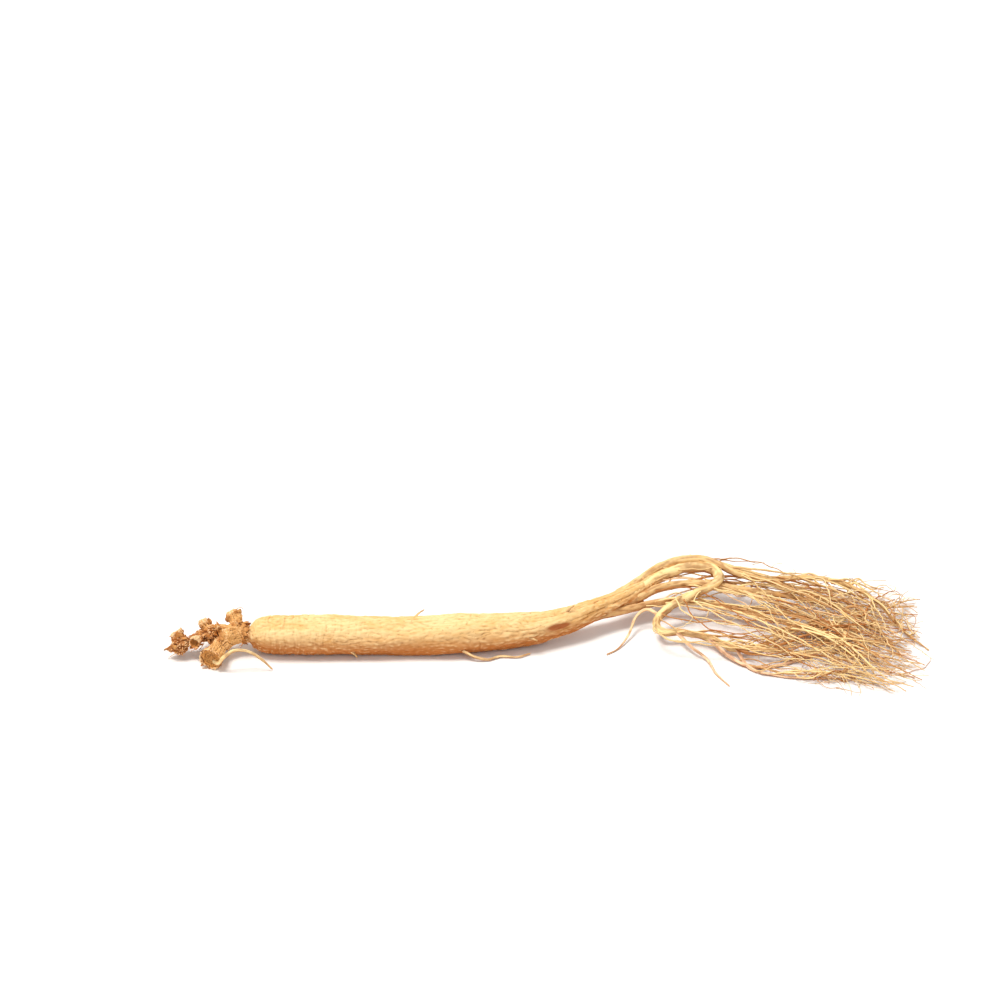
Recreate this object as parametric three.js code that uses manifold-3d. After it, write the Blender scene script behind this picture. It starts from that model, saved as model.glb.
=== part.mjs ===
// A dried ginseng root with its rhizome and all its rootlets, lying on its side.
// Millimetres, +Z up. +X runs from the rhizome to the rootlets' tips, and -Y is the front.
// The origin is the middle of the small flat spot that the taproot rests on.

import * as THREE from "three";
import { mergeVertices } from "three/addons/utils/BufferGeometryUtils.js";
import Module from "manifold-3d";

const wasm = await Module();
wasm.setup();

// Taproot: the line through its middle, and its radius by the distance from its shoulder.
const TAPROOT_LINE = [
  [-53, 0, 7.2],
  [-43.5, -0.3, 7.1],
  [-24.5, -0.6, 6.9],
  [0, 0.2, 6.5],
  [17.5, 0.6, 6.75],
  [31.5, 1.9, 6.8],
  [43.8, 4.1, 6.8],
  [53.5, 7.2, 7],
  [62.3, 11.6, 7.5],
  [70, 16.2, 8.4],
  [77.7, 21.2, 9.4],
  [84, 26, 10.5],
  [90.5, 31.2, 11.6],
  [97, 35.2, 12.4],
];
const TAPROOT_RADII = [
  [0, 6.8],
  [10, 7.05],
  [28, 7.15],
  [53, 6.85],
  [70, 7.1],
  [84, 6.8],
  [95, 6.3],
  [106, 5.5],
  [115, 5],
  [124, 4.4],
  [132, 3.7],
  [140, 2.9],
  [148, 1.9],
  [160, 0.7],
];
const TAPROOT_SIDES = 16;
const SHOULDER_LENGTH = 9;
const SHOULDER_SQUARENESS = 2.4;

// Growth rings cross the upper third of the taproot. Folds run along all of it.
const RING_SPACING = 2.7;
const RING_STEPS = 3;
const PLAIN_STEPS = 30;
const RING_DEPTH = 0.42;
const RING_WANDER = 0.5;
const RING_WANDER_RATE = 0.13;
const RINGED_LENGTH = 33;
const UNDERSIDE_WEAR = 0.3;
const FOLD_COUNT = 5;
const FOLD_DEPTH = 0.16;
const FOLD_DRIFT = 0.045;
// Below this radius the folds fade with the taproot.
const FOLDED_RADIUS = 5;
const SHOULDER_RINGS = [0, 0.35, 1.1, 2.3, 3.9];
const FIRST_RING = 5.4;

// Lateral roots: each leaves the taproot's tail, or another lateral root, and thins to its tip.
const LATERALS = {
  upper: {
    route: [
      [70, 17.5, 8.6],
      [80.8, 26.6, 10.4],
      [91.7, 37.2, 13],
      [101.5, 41.2, 14.5],
      [110.6, 39.6, 14.8],
      [118.3, 34, 13.5],
      [126, 31.8, 12],
      [134, 32.4, 11.2],
      [145.6, 34.8, 10.6],
      [157.1, 33.8, 9],
      [168.7, 26.4, 6],
      [177.4, 11, 2.2],
      [185, 0.6, 0.25],
    ],
    radii: [1.95, 0.32],
    sides: 6,
    steps: 30,
  },
  hooked: {
    route: [
      [70, 14.5, 8],
      [80.8, 22.8, 9.6],
      [91, 32.4, 11.5],
      [100.8, 37.4, 13],
      [109, 37.4, 13.4],
      [113.2, 33, 12.6],
      [111.4, 28.4, 11.4],
      [101, 22.2, 9.2],
      [92.6, 15.2, 7.2],
      [90, 9.2, 5.6],
      [92.8, 5.4, 4.8],
      [98.7, 5.6, 4.5],
      [109, 2.6, 3.6],
      [116, -2.3, 2.5],
      [123.5, -1.2, 2.3],
      [131.2, 4, 2.6],
      [141, 11.6, 3],
      [152, 16.4, 2.2],
      [162, 13, 0.8],
    ],
    radii: [2.35, 0.34],
    sides: 6,
    steps: 46,
  },
  middle: {
    route: [
      [70, 16, 7],
      [82.9, 22.4, 8.6],
      [92.8, 29, 9.8],
      [105, 31.4, 10],
      [119, 29.6, 9],
      [136.5, 27, 7.4],
      [154, 23, 5.4],
      [166.5, 13.6, 3],
      [175, -4, 0.7],
    ],
    radii: [1.8, 0.3],
    sides: 5,
    steps: 22,
  },
  lower: {
    route: [
      [68, 13, 6.4],
      [80, 18.4, 6.6],
      [94, 24.4, 6.4],
      [109, 24.6, 5.6],
      [125, 19.4, 4.6],
      [140, 11.6, 3.4],
      [152.2, 1, 2],
      [163.8, -11.9, 0.7],
    ],
    radii: [1.55, 0.3],
    sides: 5,
    steps: 20,
  },
  front: {
    route: [
      [108, 3, 3.7],
      [114.2, -5.6, 1.8],
      [121.1, -11.7, 0.9],
      [129.5, -11.5, 0.7],
      [138, -7.6, 0.8],
      [153, 1.6, 1.3],
      [160, 11, 1.7],
      [163.4, 22, 2.2],
    ],
    radii: [0.75, 0.28],
    sides: 4,
    steps: 16,
  },
  frontLow: {
    route: [
      [117.4, -2.4, 2.4],
      [121.6, -13, 0.8],
      [130, -17.4, 0.6],
      [141, -19.4, 0.5],
      [157, -18.4, 0.2],
    ],
    radii: [0.65, 0.28],
    sides: 4,
    steps: 10,
  },
  spur: {
    route: [
      [97, 5.4, 4.6],
      [102, -2, 2.8],
      [107, -7.4, 1.2],
      [109.6, -16, 0.5],
      [113.6, -24, 0.2],
    ],
    radii: [0.7, 0.28],
    sides: 4,
    steps: 10,
  },
  backLoop: {
    route: [
      [91.8, 13.4, 6.6],
      [87, 17, 7.4],
      [83, 15.6, 5],
      [80.4, 9, 2],
      [76.6, 1.6, 0.5],
      [72.4, -2.6, 0.4],
    ],
    radii: [0.65, 0.28],
    sides: 4,
    steps: 11,
  },
  backLow: {
    route: [
      [103, 31, 10],
      [114, 36.6, 7.6],
      [127, 41.6, 4.4],
      [142, 44.4, 1.6],
      [155, 43.6, 0.5],
      [166, 40, 0.2],
    ],
    radii: [0.7, 0.28],
    sides: 4,
    steps: 12,
  },
  clinging: {
    route: [
      [22, -5.4, 3.4],
      [26.6, -6.8, 1.6],
      [31, -6.6, 0.7],
      [35.4, -4.4, 0.7],
      [41, -4.8, 0.6],
      [45.5, -2.4, 0.6],
    ],
    radii: [0.6, 0.28],
    sides: 4,
    steps: 9,
  },
  neckArch: {
    route: [
      [-64, -11.6, 2.8],
      [-62, -13.4, 3],
      [-60.4, -13.8, 5.6],
      [-56.4, -13.2, 8],
      [-52, -12.8, 7.4],
      [-47.6, -13, 4.6],
      [-43.8, -13.4, 0.7],
    ],
    radii: [0.8, 0.3],
    sides: 4,
    steps: 12,
  },
};

// Rootlets: fine strands that leave these stretches of the lateral roots. Their tips lie in a fan,
// and each host's tips are spread evenly over its share of it, from the front to the back.
const ROOTLET_SEED = 1234;
const ROOTLET_HOSTS = [
  { host: "upper", stretch: [0.1, 0.86], tips: [0.45, 1], count: 12 },
  { host: "middle", stretch: [0.16, 0.84], tips: [0.3, 0.9], count: 9 },
  { host: "lower", stretch: [0.16, 0.84], tips: [0.08, 0.7], count: 10 },
  { host: "hooked", stretch: [0.62, 0.92], tips: [0.02, 0.6], count: 8 },
  { host: "front", stretch: [0.2, 0.8], tips: [0.1, 0.4], count: 3 },
  { host: "frontLow", stretch: [0.3, 0.8], tips: [0, 0.2], count: 2 },
];
const FAN_CENTRE = [70, 12];
const FAN_ANGLES = [-0.44, 0.32];
const FAN_DISTANCES = [84, 116];
const TIP_HEIGHT = 5;
const ROOTLET_LEAST_LENGTH = 16;
const ROOTLET_JITTER = 0.7;
const ROOTLET_RADII = [0.42, 0.2];
const ROOTLET_SIDES = 3;
const ROOTLET_STEPS = 9;
const ROOTLET_JOINTS = 6;
const FORK_ANGLE = 0.45;
const TIP_SWEEP = [-0.6, 0.3];
const WAVE_HEIGHT = 3;
const WAVE_COUNT = 1.3;
const WAVE_LEAN = 0.4;
const HUMP_HEIGHT = 5;
const LOWEST_MIDDLE = 0.24;

// Stubs of rootlets that broke off the taproot: distance from the shoulder, angle from the top
// towards the front, and length.
const BROKEN_ROOTLETS = [
  [58, -0.5, 3.6],
  [97, 1.7, 2.6],
  [36, 2.2, 2.2],
  [112, 0.3, 2.8],
  [80, -1.5, 3.2],
  [21, -2, 2.4],
];
const BROKEN_ROOTLET_RADII = [0.5, 0.3];
const BROKEN_ROOTLET_SIDES = 5;
const BROKEN_ROOTLET_LEAN = 0.5;
const BROKEN_ROOTLET_DEPTH = 1;

// Rhizome: the crooked neck of old stem bases that grows out of the shoulder.
const RHIZOME_LINE = [
  [-48, 0.2, 7.3],
  [-55, 0.6, 7.3],
  [-60.5, 1.2, 6.8],
  [-65.6, 1.2, 6.2],
  [-70, 0.6, 5.4],
  [-73.6, -1.4, 4.8],
  [-76.6, -3.4, 4.5],
];
const RHIZOME_RADII = [
  [0, 2.6],
  [0.16, 3.1],
  [0.4, 3.1],
  [0.55, 2.6],
  [0.78, 2],
  [1, 1.8],
];
const RHIZOME_RINGS = [0, 0.16, 0.3, 0.42, 0.54, 0.66, 0.78, 0.9, 1];
const RHIZOME_SIDES = 7;
// Swellings of the rhizome: their middles and radii. Each carries a few warts.
const SWELLINGS = [
  { middle: [-57.4, 2.6, 8.2], radius: 2.9 },
  { middle: [-61.6, -3.4, 5.4], radius: 3.4 },
  { middle: [-65, 1.6, 6.4], radius: 3.9 },
  { middle: [-69.6, 0.6, 5.6], radius: 3 },
  { middle: [-76.4, -3.4, 4.7], radius: 3.7 },
];
const LUMP_DEPTH = 0.2;
const LUMP_COUNTS = [4, 3, 4];
const LUMP_TURN = 1.7;
// Each old stem base, from its root to the middle of its cup, and its two radii.
const STEM_BASES = [
  { from: [-52, 0.2, 7.4], to: [-61.8, -1.6, 6.6], radii: [3.4, 4] },
  { from: [-56, 2.4, 8], to: [-58.8, 8.2, 10.6], radii: [2.4, 2.9] },
  { from: [-61.4, -3, 5.4], to: [-65.2, -12.8, 4.2], radii: [3, 4.1] },
  { from: [-66, 1, 6.4], to: [-68.4, 5.2, 9.2], radii: [1.7, 2.1] },
  { from: [-70, -0.4, 5], to: [-71.2, -5.4, 6.6], radii: [1.6, 2] },
  { from: [-75, -3, 5], to: [-77.6, -1.4, 8.8], radii: [1.8, 2.2] },
];
const STEM_BASE_SIDES = 7;
const FLARE_SHARE = 0.55;
const LIP_HEIGHT = 0.9;
const LIP_SHARE = 0.86;
const CUP_SHARE = 0.5;
const CUP_DEPTH = 1.4;
const CUP_SLOPE = 0.6;
const WARTS_EACH = 4;
const WART_RADII = [0.88, 1.43];
const WART_HEIGHTS = [-0.3, 0.9];
const WART_SINK = 0.92;
const WART_SEED = 61;
const BUD = { from: [-76.6, -3.6, 4.4], to: [-82.2, -5.4, 3.6], radii: [1.9, 1.5] };
const BUD_OUTLINE = [0.6, 0.88];

const TAPER_POWER = 1.25;
const SLIVER_SIZE = 0.06;
const WELD_DISTANCE = 1e-4;
const GOLDEN_SHARE = 0.618;
const CURVE_SAMPLES = 400;
const FLOOR_CUT_SIZE = 600;
const UP = new THREE.Vector3(0, 0, 1);

// A repeatable stream of numbers from 0 to 1.
function makeRandom(seed) {
  let state = seed;
  return () => {
    state = (state * 16807) % 2147483647;
    return state / 2147483647;
  };
}

const lerp = THREE.MathUtils.lerp;

// The value at x of the smooth line through the [x, value] pairs.
function smoothValue(pairs, x) {
  const last = pairs.length - 1;
  const clamped = THREE.MathUtils.clamp(x, pairs[0][0], pairs[last][0]);
  let i = 0;
  while (i < last - 1 && clamped > pairs[i + 1][0]) i++;
  const slope = (k) => {
    const before = pairs[Math.max(k - 1, 0)];
    const after = pairs[Math.min(k + 1, last)];
    return (after[1] - before[1]) / (after[0] - before[0]);
  };
  const [x0, v0] = pairs[i];
  const [x1, v1] = pairs[i + 1];
  const span = x1 - x0;
  const t = (clamped - x0) / span;
  const rise = (2 * t - 3) * t * t;
  return (
    v0 * (1 + rise) -
    v1 * rise +
    slope(i) * span * t * (1 - t) ** 2 -
    slope(i + 1) * span * t * t * (1 - t)
  );
}

function curveThrough(points) {
  const corners = points.map((p) => new THREE.Vector3(...p));
  const curve = new THREE.CatmullRomCurve3(corners, false, "catmullrom", 0.5);
  curve.arcLengthDivisions = CURVE_SAMPLES;
  return curve;
}

// The middle of a strand at a share of its length, its direction, and the level frame round it.
function frameAt(curve, share) {
  const along = curve.getTangentAt(share);
  const side = new THREE.Vector3().crossVectors(along, UP).normalize();
  const up = new THREE.Vector3().crossVectors(side, along);
  return { middle: curve.getPointAt(share), along, side, up };
}

function closedGeometry(geometry) {
  geometry.deleteAttribute("normal");
  geometry.deleteAttribute("uv");
  return mergeVertices(geometry, WELD_DISTANCE);
}

function solidOf(geometry) {
  const merged = closedGeometry(geometry);
  const corners = merged.index.array;
  const kept = [];
  for (let i = 0; i < corners.length; i += 3) {
    const [a, b, c] = [corners[i], corners[i + 1], corners[i + 2]];
    if (a !== b && b !== c && c !== a) kept.push(a, b, c);
  }
  return new wasm.Manifold(
    new wasm.Mesh({
      numProp: 3,
      vertProperties: merged.attributes.position.array,
      triVerts: new Uint32Array(kept),
    }),
  );
}

// A closed strand: a lathed profile of [share of length, radius] rings, carried along the curve.
// relief(distance, angle) is added to the radius, with the angle from the top towards the front.
function strand(curve, rings, sides, relief = () => 0) {
  const length = curve.getLength();
  const profile = rings.map(([share, radius]) => new THREE.Vector2(radius, share));
  const lathe = new THREE.LatheGeometry(profile, sides);
  const place = lathe.attributes.position;
  const at = new THREE.Vector3();
  for (let i = 0; i < place.count; i++) {
    at.fromBufferAttribute(place, i);
    const { middle, side, up } = frameAt(curve, at.y);
    const radius = Math.hypot(at.x, at.z);
    const angle = Math.atan2(at.x, at.z);
    const full = radius > 0 ? radius + relief(at.y * length, angle) : 0;
    middle.addScaledVector(side, full * Math.sin(angle));
    middle.addScaledVector(up, full * Math.cos(angle));
    place.setXYZ(i, middle.x, middle.y, middle.z);
  }
  return solidOf(lathe);
}

// Even rings of a strand that thins from its base to its tip.
function taperedRings(steps, [base, tip]) {
  const rings = [[0, 0]];
  for (let i = 0; i <= steps; i++) {
    const share = i / steps;
    rings.push([share, lerp(base, tip, share ** TAPER_POWER)]);
  }
  rings.push([1, 0]);
  return rings;
}

function taprootRadius(distance) {
  const inShoulder = Math.min(distance / SHOULDER_LENGTH, 1);
  const round = 1 - (1 - inShoulder) ** SHOULDER_SQUARENESS;
  return smoothValue(TAPROOT_RADII, distance) * round ** (1 / SHOULDER_SQUARENESS);
}

// Ring grooves that fade down the taproot, and long folds that drift round it.
function taprootRelief(distance, angle) {
  const fade = THREE.MathUtils.clamp(1 - distance / RINGED_LENGTH, 0, 1);
  const underside = 0.5 - 0.5 * Math.cos(angle / 2) ** 8;
  const wander = RING_WANDER * Math.sin(2 * angle + distance * RING_WANDER_RATE);
  const turn = (2 * Math.PI * (distance + wander)) / RING_SPACING;
  const groove = RING_DEPTH * fade * Math.max(0, Math.cos(turn)) ** 3;
  const fold = Math.sin(FOLD_COUNT * angle + FOLD_DRIFT * distance * Math.PI);
  const thin = Math.min(1, taprootRadius(distance) / FOLDED_RADIUS);
  return -groove * (1 - underside * UNDERSIDE_WEAR) + FOLD_DEPTH * fold * thin;
}

function makeTaproot(curve) {
  const length = curve.getLength();
  const distances = [...SHOULDER_RINGS];
  for (let d = FIRST_RING; d < RINGED_LENGTH; d += RING_SPACING / RING_STEPS) distances.push(d);
  for (let i = 0; i <= PLAIN_STEPS; i++) {
    distances.push(lerp(RINGED_LENGTH, length, i / PLAIN_STEPS));
  }
  const rings = distances.map((d) => [Math.min(d / length, 1), taprootRadius(d)]);
  rings.push([1, 0]);
  return strand(curve, rings, TAPROOT_SIDES, taprootRelief);
}

// The corners of one rootlet, which forks off its host and wanders to its tip in the fan.
function rootletRoute(hostCurve, share, tipShare, random) {
  const start = hostCurve.getPointAt(share);
  const along = hostCurve.getTangentAt(share);
  const tipAngle = lerp(...FAN_ANGLES, tipShare);
  const distance = lerp(...FAN_DISTANCES, Math.sqrt(random()));
  const tip = new THREE.Vector3(
    FAN_CENTRE[0] + distance * Math.cos(tipAngle),
    FAN_CENTRE[1] + distance * Math.sin(tipAngle),
    LOWEST_MIDDLE + TIP_HEIGHT * random() ** 2,
  );
  tip.x = Math.max(tip.x, start.x + ROOTLET_LEAST_LENGTH * Math.cos(tipAngle));
  const reach = start.distanceTo(tip) / 3;
  const fork = Math.atan2(along.y, along.x) + lerp(-FORK_ANGLE, FORK_ANGLE, random());
  const sweep = tipAngle + lerp(...TIP_SWEEP, random());
  const first = new THREE.Vector3(Math.cos(fork), Math.sin(fork), 0);
  const last = new THREE.Vector3(Math.cos(sweep), Math.sin(sweep), 0);
  const bend = new THREE.CubicBezierCurve3(
    start,
    first.multiplyScalar(reach).add(start),
    last.multiplyScalar(-reach).add(tip),
    tip,
  );
  const phase = random() * 2 * Math.PI;
  const wave = WAVE_HEIGHT * random();
  const hump = HUMP_HEIGHT * random();
  const points = [start.toArray()];
  for (let k = 1; k <= ROOTLET_JOINTS; k++) {
    const done = k / ROOTLET_JOINTS;
    const at = bend.getPoint(done);
    const swing = wave * Math.sin(phase + 2 * Math.PI * WAVE_COUNT * done);
    const lift = hump * Math.sin(Math.PI * done) * (1 - done);
    points.push([
      at.x + WAVE_LEAN * swing * Math.sin(phase),
      at.y + swing,
      Math.max(LOWEST_MIDDLE, at.z + lift),
    ]);
  }
  return points;
}

function makeRootlets(curves) {
  const random = makeRandom(ROOTLET_SEED);
  const made = [];
  for (const { host, stretch, tips, count } of ROOTLET_HOSTS) {
    for (let i = 0; i < count; i++) {
      const share = lerp(...stretch, (i + ROOTLET_JITTER * random()) / count);
      const tipShare = lerp(...tips, (i * GOLDEN_SHARE + random() / count) % 1);
      const curve = curveThrough(rootletRoute(curves[host], share, tipShare, random));
      const rings = taperedRings(ROOTLET_STEPS, ROOTLET_RADII);
      made.push(strand(curve, rings, ROOTLET_SIDES));
    }
  }
  return made;
}

function makeBrokenRootlets(taproot) {
  const length = taproot.getLength();
  return BROKEN_ROOTLETS.map(([distance, angle, stub]) => {
    const { middle, along, side, up } = frameAt(taproot, distance / length);
    const out = side.multiplyScalar(Math.sin(angle)).addScaledVector(up, Math.cos(angle));
    const depth = BROKEN_ROOTLET_DEPTH;
    const base = middle.clone().addScaledVector(out, taprootRadius(distance) - depth);
    const rise = stub * BROKEN_ROOTLET_LEAN + depth;
    const tip = base.clone().addScaledVector(out, rise).addScaledVector(along, stub);
    const curve = curveThrough([base.toArray(), tip.toArray()]);
    return strand(curve, taperedRings(2, BROKEN_ROOTLET_RADII), BROKEN_ROOTLET_SIDES);
  });
}

// A lumpy ball for a swelling of the rhizome.
function swelling(middle, radius, turn) {
  const ball = new THREE.IcosahedronGeometry(radius, 1);
  const place = ball.attributes.position;
  const at = new THREE.Vector3();
  for (let i = 0; i < place.count; i++) {
    at.fromBufferAttribute(place, i).divideScalar(radius);
    const [x, y, z] = LUMP_COUNTS.map((count, axis) => count * at.getComponent(axis));
    const lump = Math.sin(x + turn) * Math.cos(y - turn) * Math.sin(z + 2);
    at.multiplyScalar(radius * (1 + LUMP_DEPTH * lump)).add(middle);
    place.setXYZ(i, at.x, at.y, at.z);
  }
  return solidOf(ball);
}

// A lathed outline of [radius, height] corners, stood from one point towards another.
function latheBetween(from, to, outline, sides) {
  const base = new THREE.Vector3(...from);
  const out = new THREE.Vector3(...to).sub(base).normalize();
  const lathe = new THREE.LatheGeometry(
    outline.map((corner) => new THREE.Vector2(...corner)),
    sides,
  );
  lathe.applyQuaternion(
    new THREE.Quaternion().setFromUnitVectors(new THREE.Vector3(0, 1, 0), out),
  );
  lathe.translate(base.x, base.y, base.z);
  return solidOf(lathe);
}

function spanOf({ from, to }) {
  return new THREE.Vector3(...from).distanceTo(new THREE.Vector3(...to));
}

// An old stem base: a short flared stub with a cup where the stem fell off.
function stemBase(base) {
  const [narrow, wide] = base.radii;
  const length = spanOf(base);
  const outline = [
    [0, 0],
    [narrow, 0],
    [narrow, length * FLARE_SHARE],
    [wide, length - LIP_HEIGHT],
    [wide * LIP_SHARE, length],
    [wide * CUP_SHARE, length - CUP_DEPTH * CUP_SLOPE],
    [0, length - CUP_DEPTH],
  ];
  return latheBetween(base.from, base.to, outline, STEM_BASE_SIDES);
}

function makeBud() {
  const [narrow, wide] = BUD.radii;
  const length = spanOf(BUD);
  const outline = [
    [0, 0],
    [narrow, 0],
    [wide, length * BUD_OUTLINE[0]],
    [wide / 2, length * BUD_OUTLINE[1]],
    [0, length],
  ];
  return latheBetween(BUD.from, BUD.to, outline, RHIZOME_SIDES);
}

// Small knobs spread evenly round the outer side of a swelling.
function makeWarts(middle, radius, random) {
  return Array.from({ length: WARTS_EACH }, (_, i) => {
    const turn = GOLDEN_SHARE * 2 * Math.PI * (i + random());
    const height = lerp(...WART_HEIGHTS, (i + 0.5) / WARTS_EACH);
    const level = Math.sqrt(1 - height ** 2);
    const out = new THREE.Vector3(level * Math.sin(turn), level * Math.cos(turn), height);
    const wart = new THREE.IcosahedronGeometry(lerp(...WART_RADII, random()), 0);
    wart.translate(...out.multiplyScalar(WART_SINK * radius).add(middle));
    return solidOf(wart);
  });
}

function makeRhizome() {
  const line = curveThrough(RHIZOME_LINE);
  const rings = [[0, 0]];
  for (const share of RHIZOME_RINGS) {
    rings.push([share, smoothValue(RHIZOME_RADII, share)]);
  }
  rings.push([1, 0]);
  const random = makeRandom(WART_SEED);
  const lumps = SWELLINGS.flatMap(({ middle, radius }, i) => {
    const at = new THREE.Vector3(...middle);
    return [swelling(at, radius, LUMP_TURN * i), ...makeWarts(at, radius, random)];
  });
  return [strand(line, rings, RHIZOME_SIDES), ...lumps, ...STEM_BASES.map(stemBase), makeBud()];
}

// Everything below the table's plane, which leaves the flat spot.
function tableCut() {
  const block = new THREE.BoxGeometry(FLOOR_CUT_SIZE, FLOOR_CUT_SIZE, FLOOR_CUT_SIZE);
  block.translate(0, 0, -FLOOR_CUT_SIZE / 2);
  return solidOf(block);
}

function geometryOf(solid) {
  const mesh = solid.getMesh();
  const geometry = new THREE.BufferGeometry();
  geometry.setAttribute("position", new THREE.BufferAttribute(mesh.vertProperties, 3));
  geometry.setIndex(new THREE.BufferAttribute(mesh.triVerts, 1));
  geometry.computeVertexNormals();
  return geometry;
}

// The root itself, without any sealed hollow or loose scrap that joining leaves.
function largestBody(solid) {
  return solid.decompose().reduce((a, b) => (b.volume() > a.volume() ? b : a));
}

function makeRoot() {
  const taproot = curveThrough(TAPROOT_LINE);
  const curves = {};
  const pieces = [makeTaproot(taproot), ...makeRhizome()];
  for (const [name, { route, radii, sides, steps }] of Object.entries(LATERALS)) {
    curves[name] = curveThrough(route);
    pieces.push(strand(curves[name], taperedRings(steps, radii), sides));
  }
  pieces.push(...makeBrokenRootlets(taproot), ...makeRootlets(curves));
  const joined = pieces.reduce((sum, piece) => sum.add(piece));
  return geometryOf(largestBody(joined.simplify(SLIVER_SIZE).subtract(tableCut())));
}

const driedRoot = new THREE.MeshStandardMaterial({
  color: 0xe2bc82,
  roughness: 0.78,
  metalness: 0,
});

const part = new THREE.Group();
const root = new THREE.Mesh(makeRoot(), driedRoot);
root.name = "ginseng_root";
part.add(root);

export default part;
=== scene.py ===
"""A whole dried ginseng root lying on its side, in soft studio light.

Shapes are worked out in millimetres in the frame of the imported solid, and turned to metres as each
mesh is made. The root is one natural thing, so every mesh here rides with it and stands for it:
the taproot with its forks, the rhizome, the side roots, the rootlets and the finest rootlets.
"""

from __future__ import annotations

import itertools
import logging
import math
from dataclasses import dataclass, field
from enum import Enum
from typing import Callable, Iterable, Sequence

import bpy
import numpy as np
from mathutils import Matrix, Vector

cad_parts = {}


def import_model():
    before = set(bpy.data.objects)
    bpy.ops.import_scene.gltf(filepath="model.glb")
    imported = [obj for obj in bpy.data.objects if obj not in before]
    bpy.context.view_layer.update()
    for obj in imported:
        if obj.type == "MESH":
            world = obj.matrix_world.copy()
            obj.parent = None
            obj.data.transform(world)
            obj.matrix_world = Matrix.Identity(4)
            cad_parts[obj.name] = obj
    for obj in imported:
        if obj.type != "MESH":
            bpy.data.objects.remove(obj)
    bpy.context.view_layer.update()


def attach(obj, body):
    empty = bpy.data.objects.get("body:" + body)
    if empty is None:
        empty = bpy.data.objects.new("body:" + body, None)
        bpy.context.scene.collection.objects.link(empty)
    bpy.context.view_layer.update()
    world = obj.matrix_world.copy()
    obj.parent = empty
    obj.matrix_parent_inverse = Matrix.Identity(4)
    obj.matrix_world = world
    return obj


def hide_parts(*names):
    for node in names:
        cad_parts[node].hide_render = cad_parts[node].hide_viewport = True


log = logging.getLogger("ginseng")

Point = tuple[float, float, float]
MM = 0.001
BODY = "root"
NODE = "ginseng_root"
GOLDEN_SHARE = 0.618


class Mark(Enum):
    """The values that a mesh carries at its vertices for its material."""

    # Painted shade in hollows and painted highlight on bumps, from -1 to 1.
    SHADE_AND_HIGHLIGHT = "relief"
    TIP = "tip"
    TINT = "tint"
    STAIN = "stain"
    # Painted shade on the underside, from 0 on top to 1 at the bottom.
    UNDERSIDE_SHADE = "underside_shade"


def linear(hex_colour: str) -> tuple[float, float, float, float]:
    """Turns an sRGB colour into the linear one that shaders use.

    Args:
        hex_colour: The colour as "#rrggbb".

    Returns:
        Red, green, blue and alpha.
    """
    shares = [int(hex_colour[i : i + 2], 16) / 255 for i in (1, 3, 5)]
    flat = [c / 12.92 if c <= 0.04045 else ((c + 0.055) / 1.055) ** 2.4 for c in shares]
    return (flat[0], flat[1], flat[2], 1.0)


def smooth_step(low: float, high: float, value: np.ndarray) -> np.ndarray:
    """Rises smoothly from 0 at low to 1 at high."""
    t = np.clip((value - low) / (high - low), 0, 1)
    return t * t * (3 - 2 * t)


def smooth_value(pairs: Sequence[tuple[float, float]], x: np.ndarray) -> np.ndarray:
    """Follows the smooth line through the pairs.

    Args:
        pairs: Places along the line and the value at each.
        x: The places to read.

    Returns:
        The value at each place.
    """
    places, values = np.array(pairs, float).T
    slopes = np.empty_like(values)
    slopes[1:-1] = (values[2:] - values[:-2]) / (places[2:] - places[:-2])
    slopes[0] = (values[1] - values[0]) / (places[1] - places[0])
    slopes[-1] = (values[-1] - values[-2]) / (places[-1] - places[-2])
    x = np.clip(x, places[0], places[-1])
    i = np.clip(np.searchsorted(places, x) - 1, 0, len(places) - 2)
    span = places[i + 1] - places[i]
    t = (x - places[i]) / span
    rise = (3 - 2 * t) * t * t
    bend = slopes[i] * span * t * (1 - t) ** 2 - slopes[i + 1] * span * t * t * (1 - t)
    return values[i] * (1 - rise) + values[i + 1] * rise + bend


class Stream:
    """A repeatable stream of numbers from 0 to 1."""

    def __init__(self, seed: int) -> None:
        """Starts the stream at the seed."""
        self._state = seed

    def next(self) -> float:
        """Returns the next number."""
        self._state = self._state * 16807 % 2147483647
        return self._state / 2147483647

    def between(self, low: float, high: float) -> float:
        """Returns a number between two others."""
        return low + (high - low) * self.next()


class SmoothNoise:
    """Repeatable smooth noise in space, about -1 to 1, with one bump to a unit."""

    def __init__(self, seed: int) -> None:
        """Draws the slopes of the bumps.

        Args:
            seed: What makes this noise its own.
        """
        draw = np.random.default_rng(seed)
        self._order = draw.permutation(256)
        slopes = draw.normal(size=(256, 3))
        self._slopes = slopes / np.linalg.norm(slopes, axis=1, keepdims=True)

    def at(self, points: np.ndarray, size: Sequence[float]) -> np.ndarray:
        """Reads the noise.

        Args:
            points: One row of three numbers for each place.
            size: The length of one bump along each of the three.

        Returns:
            The noise at each place.
        """
        scaled = points / np.array(size, float)
        cell = np.floor(scaled).astype(int)
        inside = scaled - cell
        fade = inside**3 * (inside * (inside * 6 - 15) + 10)
        total = np.zeros(len(points))
        for corner in itertools.product((0, 1), repeat=3):
            key = (cell + corner) & 255
            slot = self._order[key[:, 0]]
            slot = self._order[(slot + key[:, 1]) & 255]
            slot = self._order[(slot + key[:, 2]) & 255]
            weight = np.prod(np.where(corner, fade, 1 - fade), axis=1)
            total += weight * np.einsum("ij,ij->i", self._slopes[slot], inside - corner)
        return 1.6 * total

    def ridges(self, points: np.ndarray, size: Sequence[float], width: float) -> np.ndarray:
        """Reads rounded ridges with sharp winding creases between them.

        Args:
            points: One row of three numbers for each place.
            size: The length of one ridge along each of the three.
            width: How far the flanks of a crease reach, as a share of a ridge.

        Returns:
            From 0 in a crease to 1 along a ridge.
        """
        return np.clip(np.abs(self.at(points, size)) / width, 0, 1) ** 0.7


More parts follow.
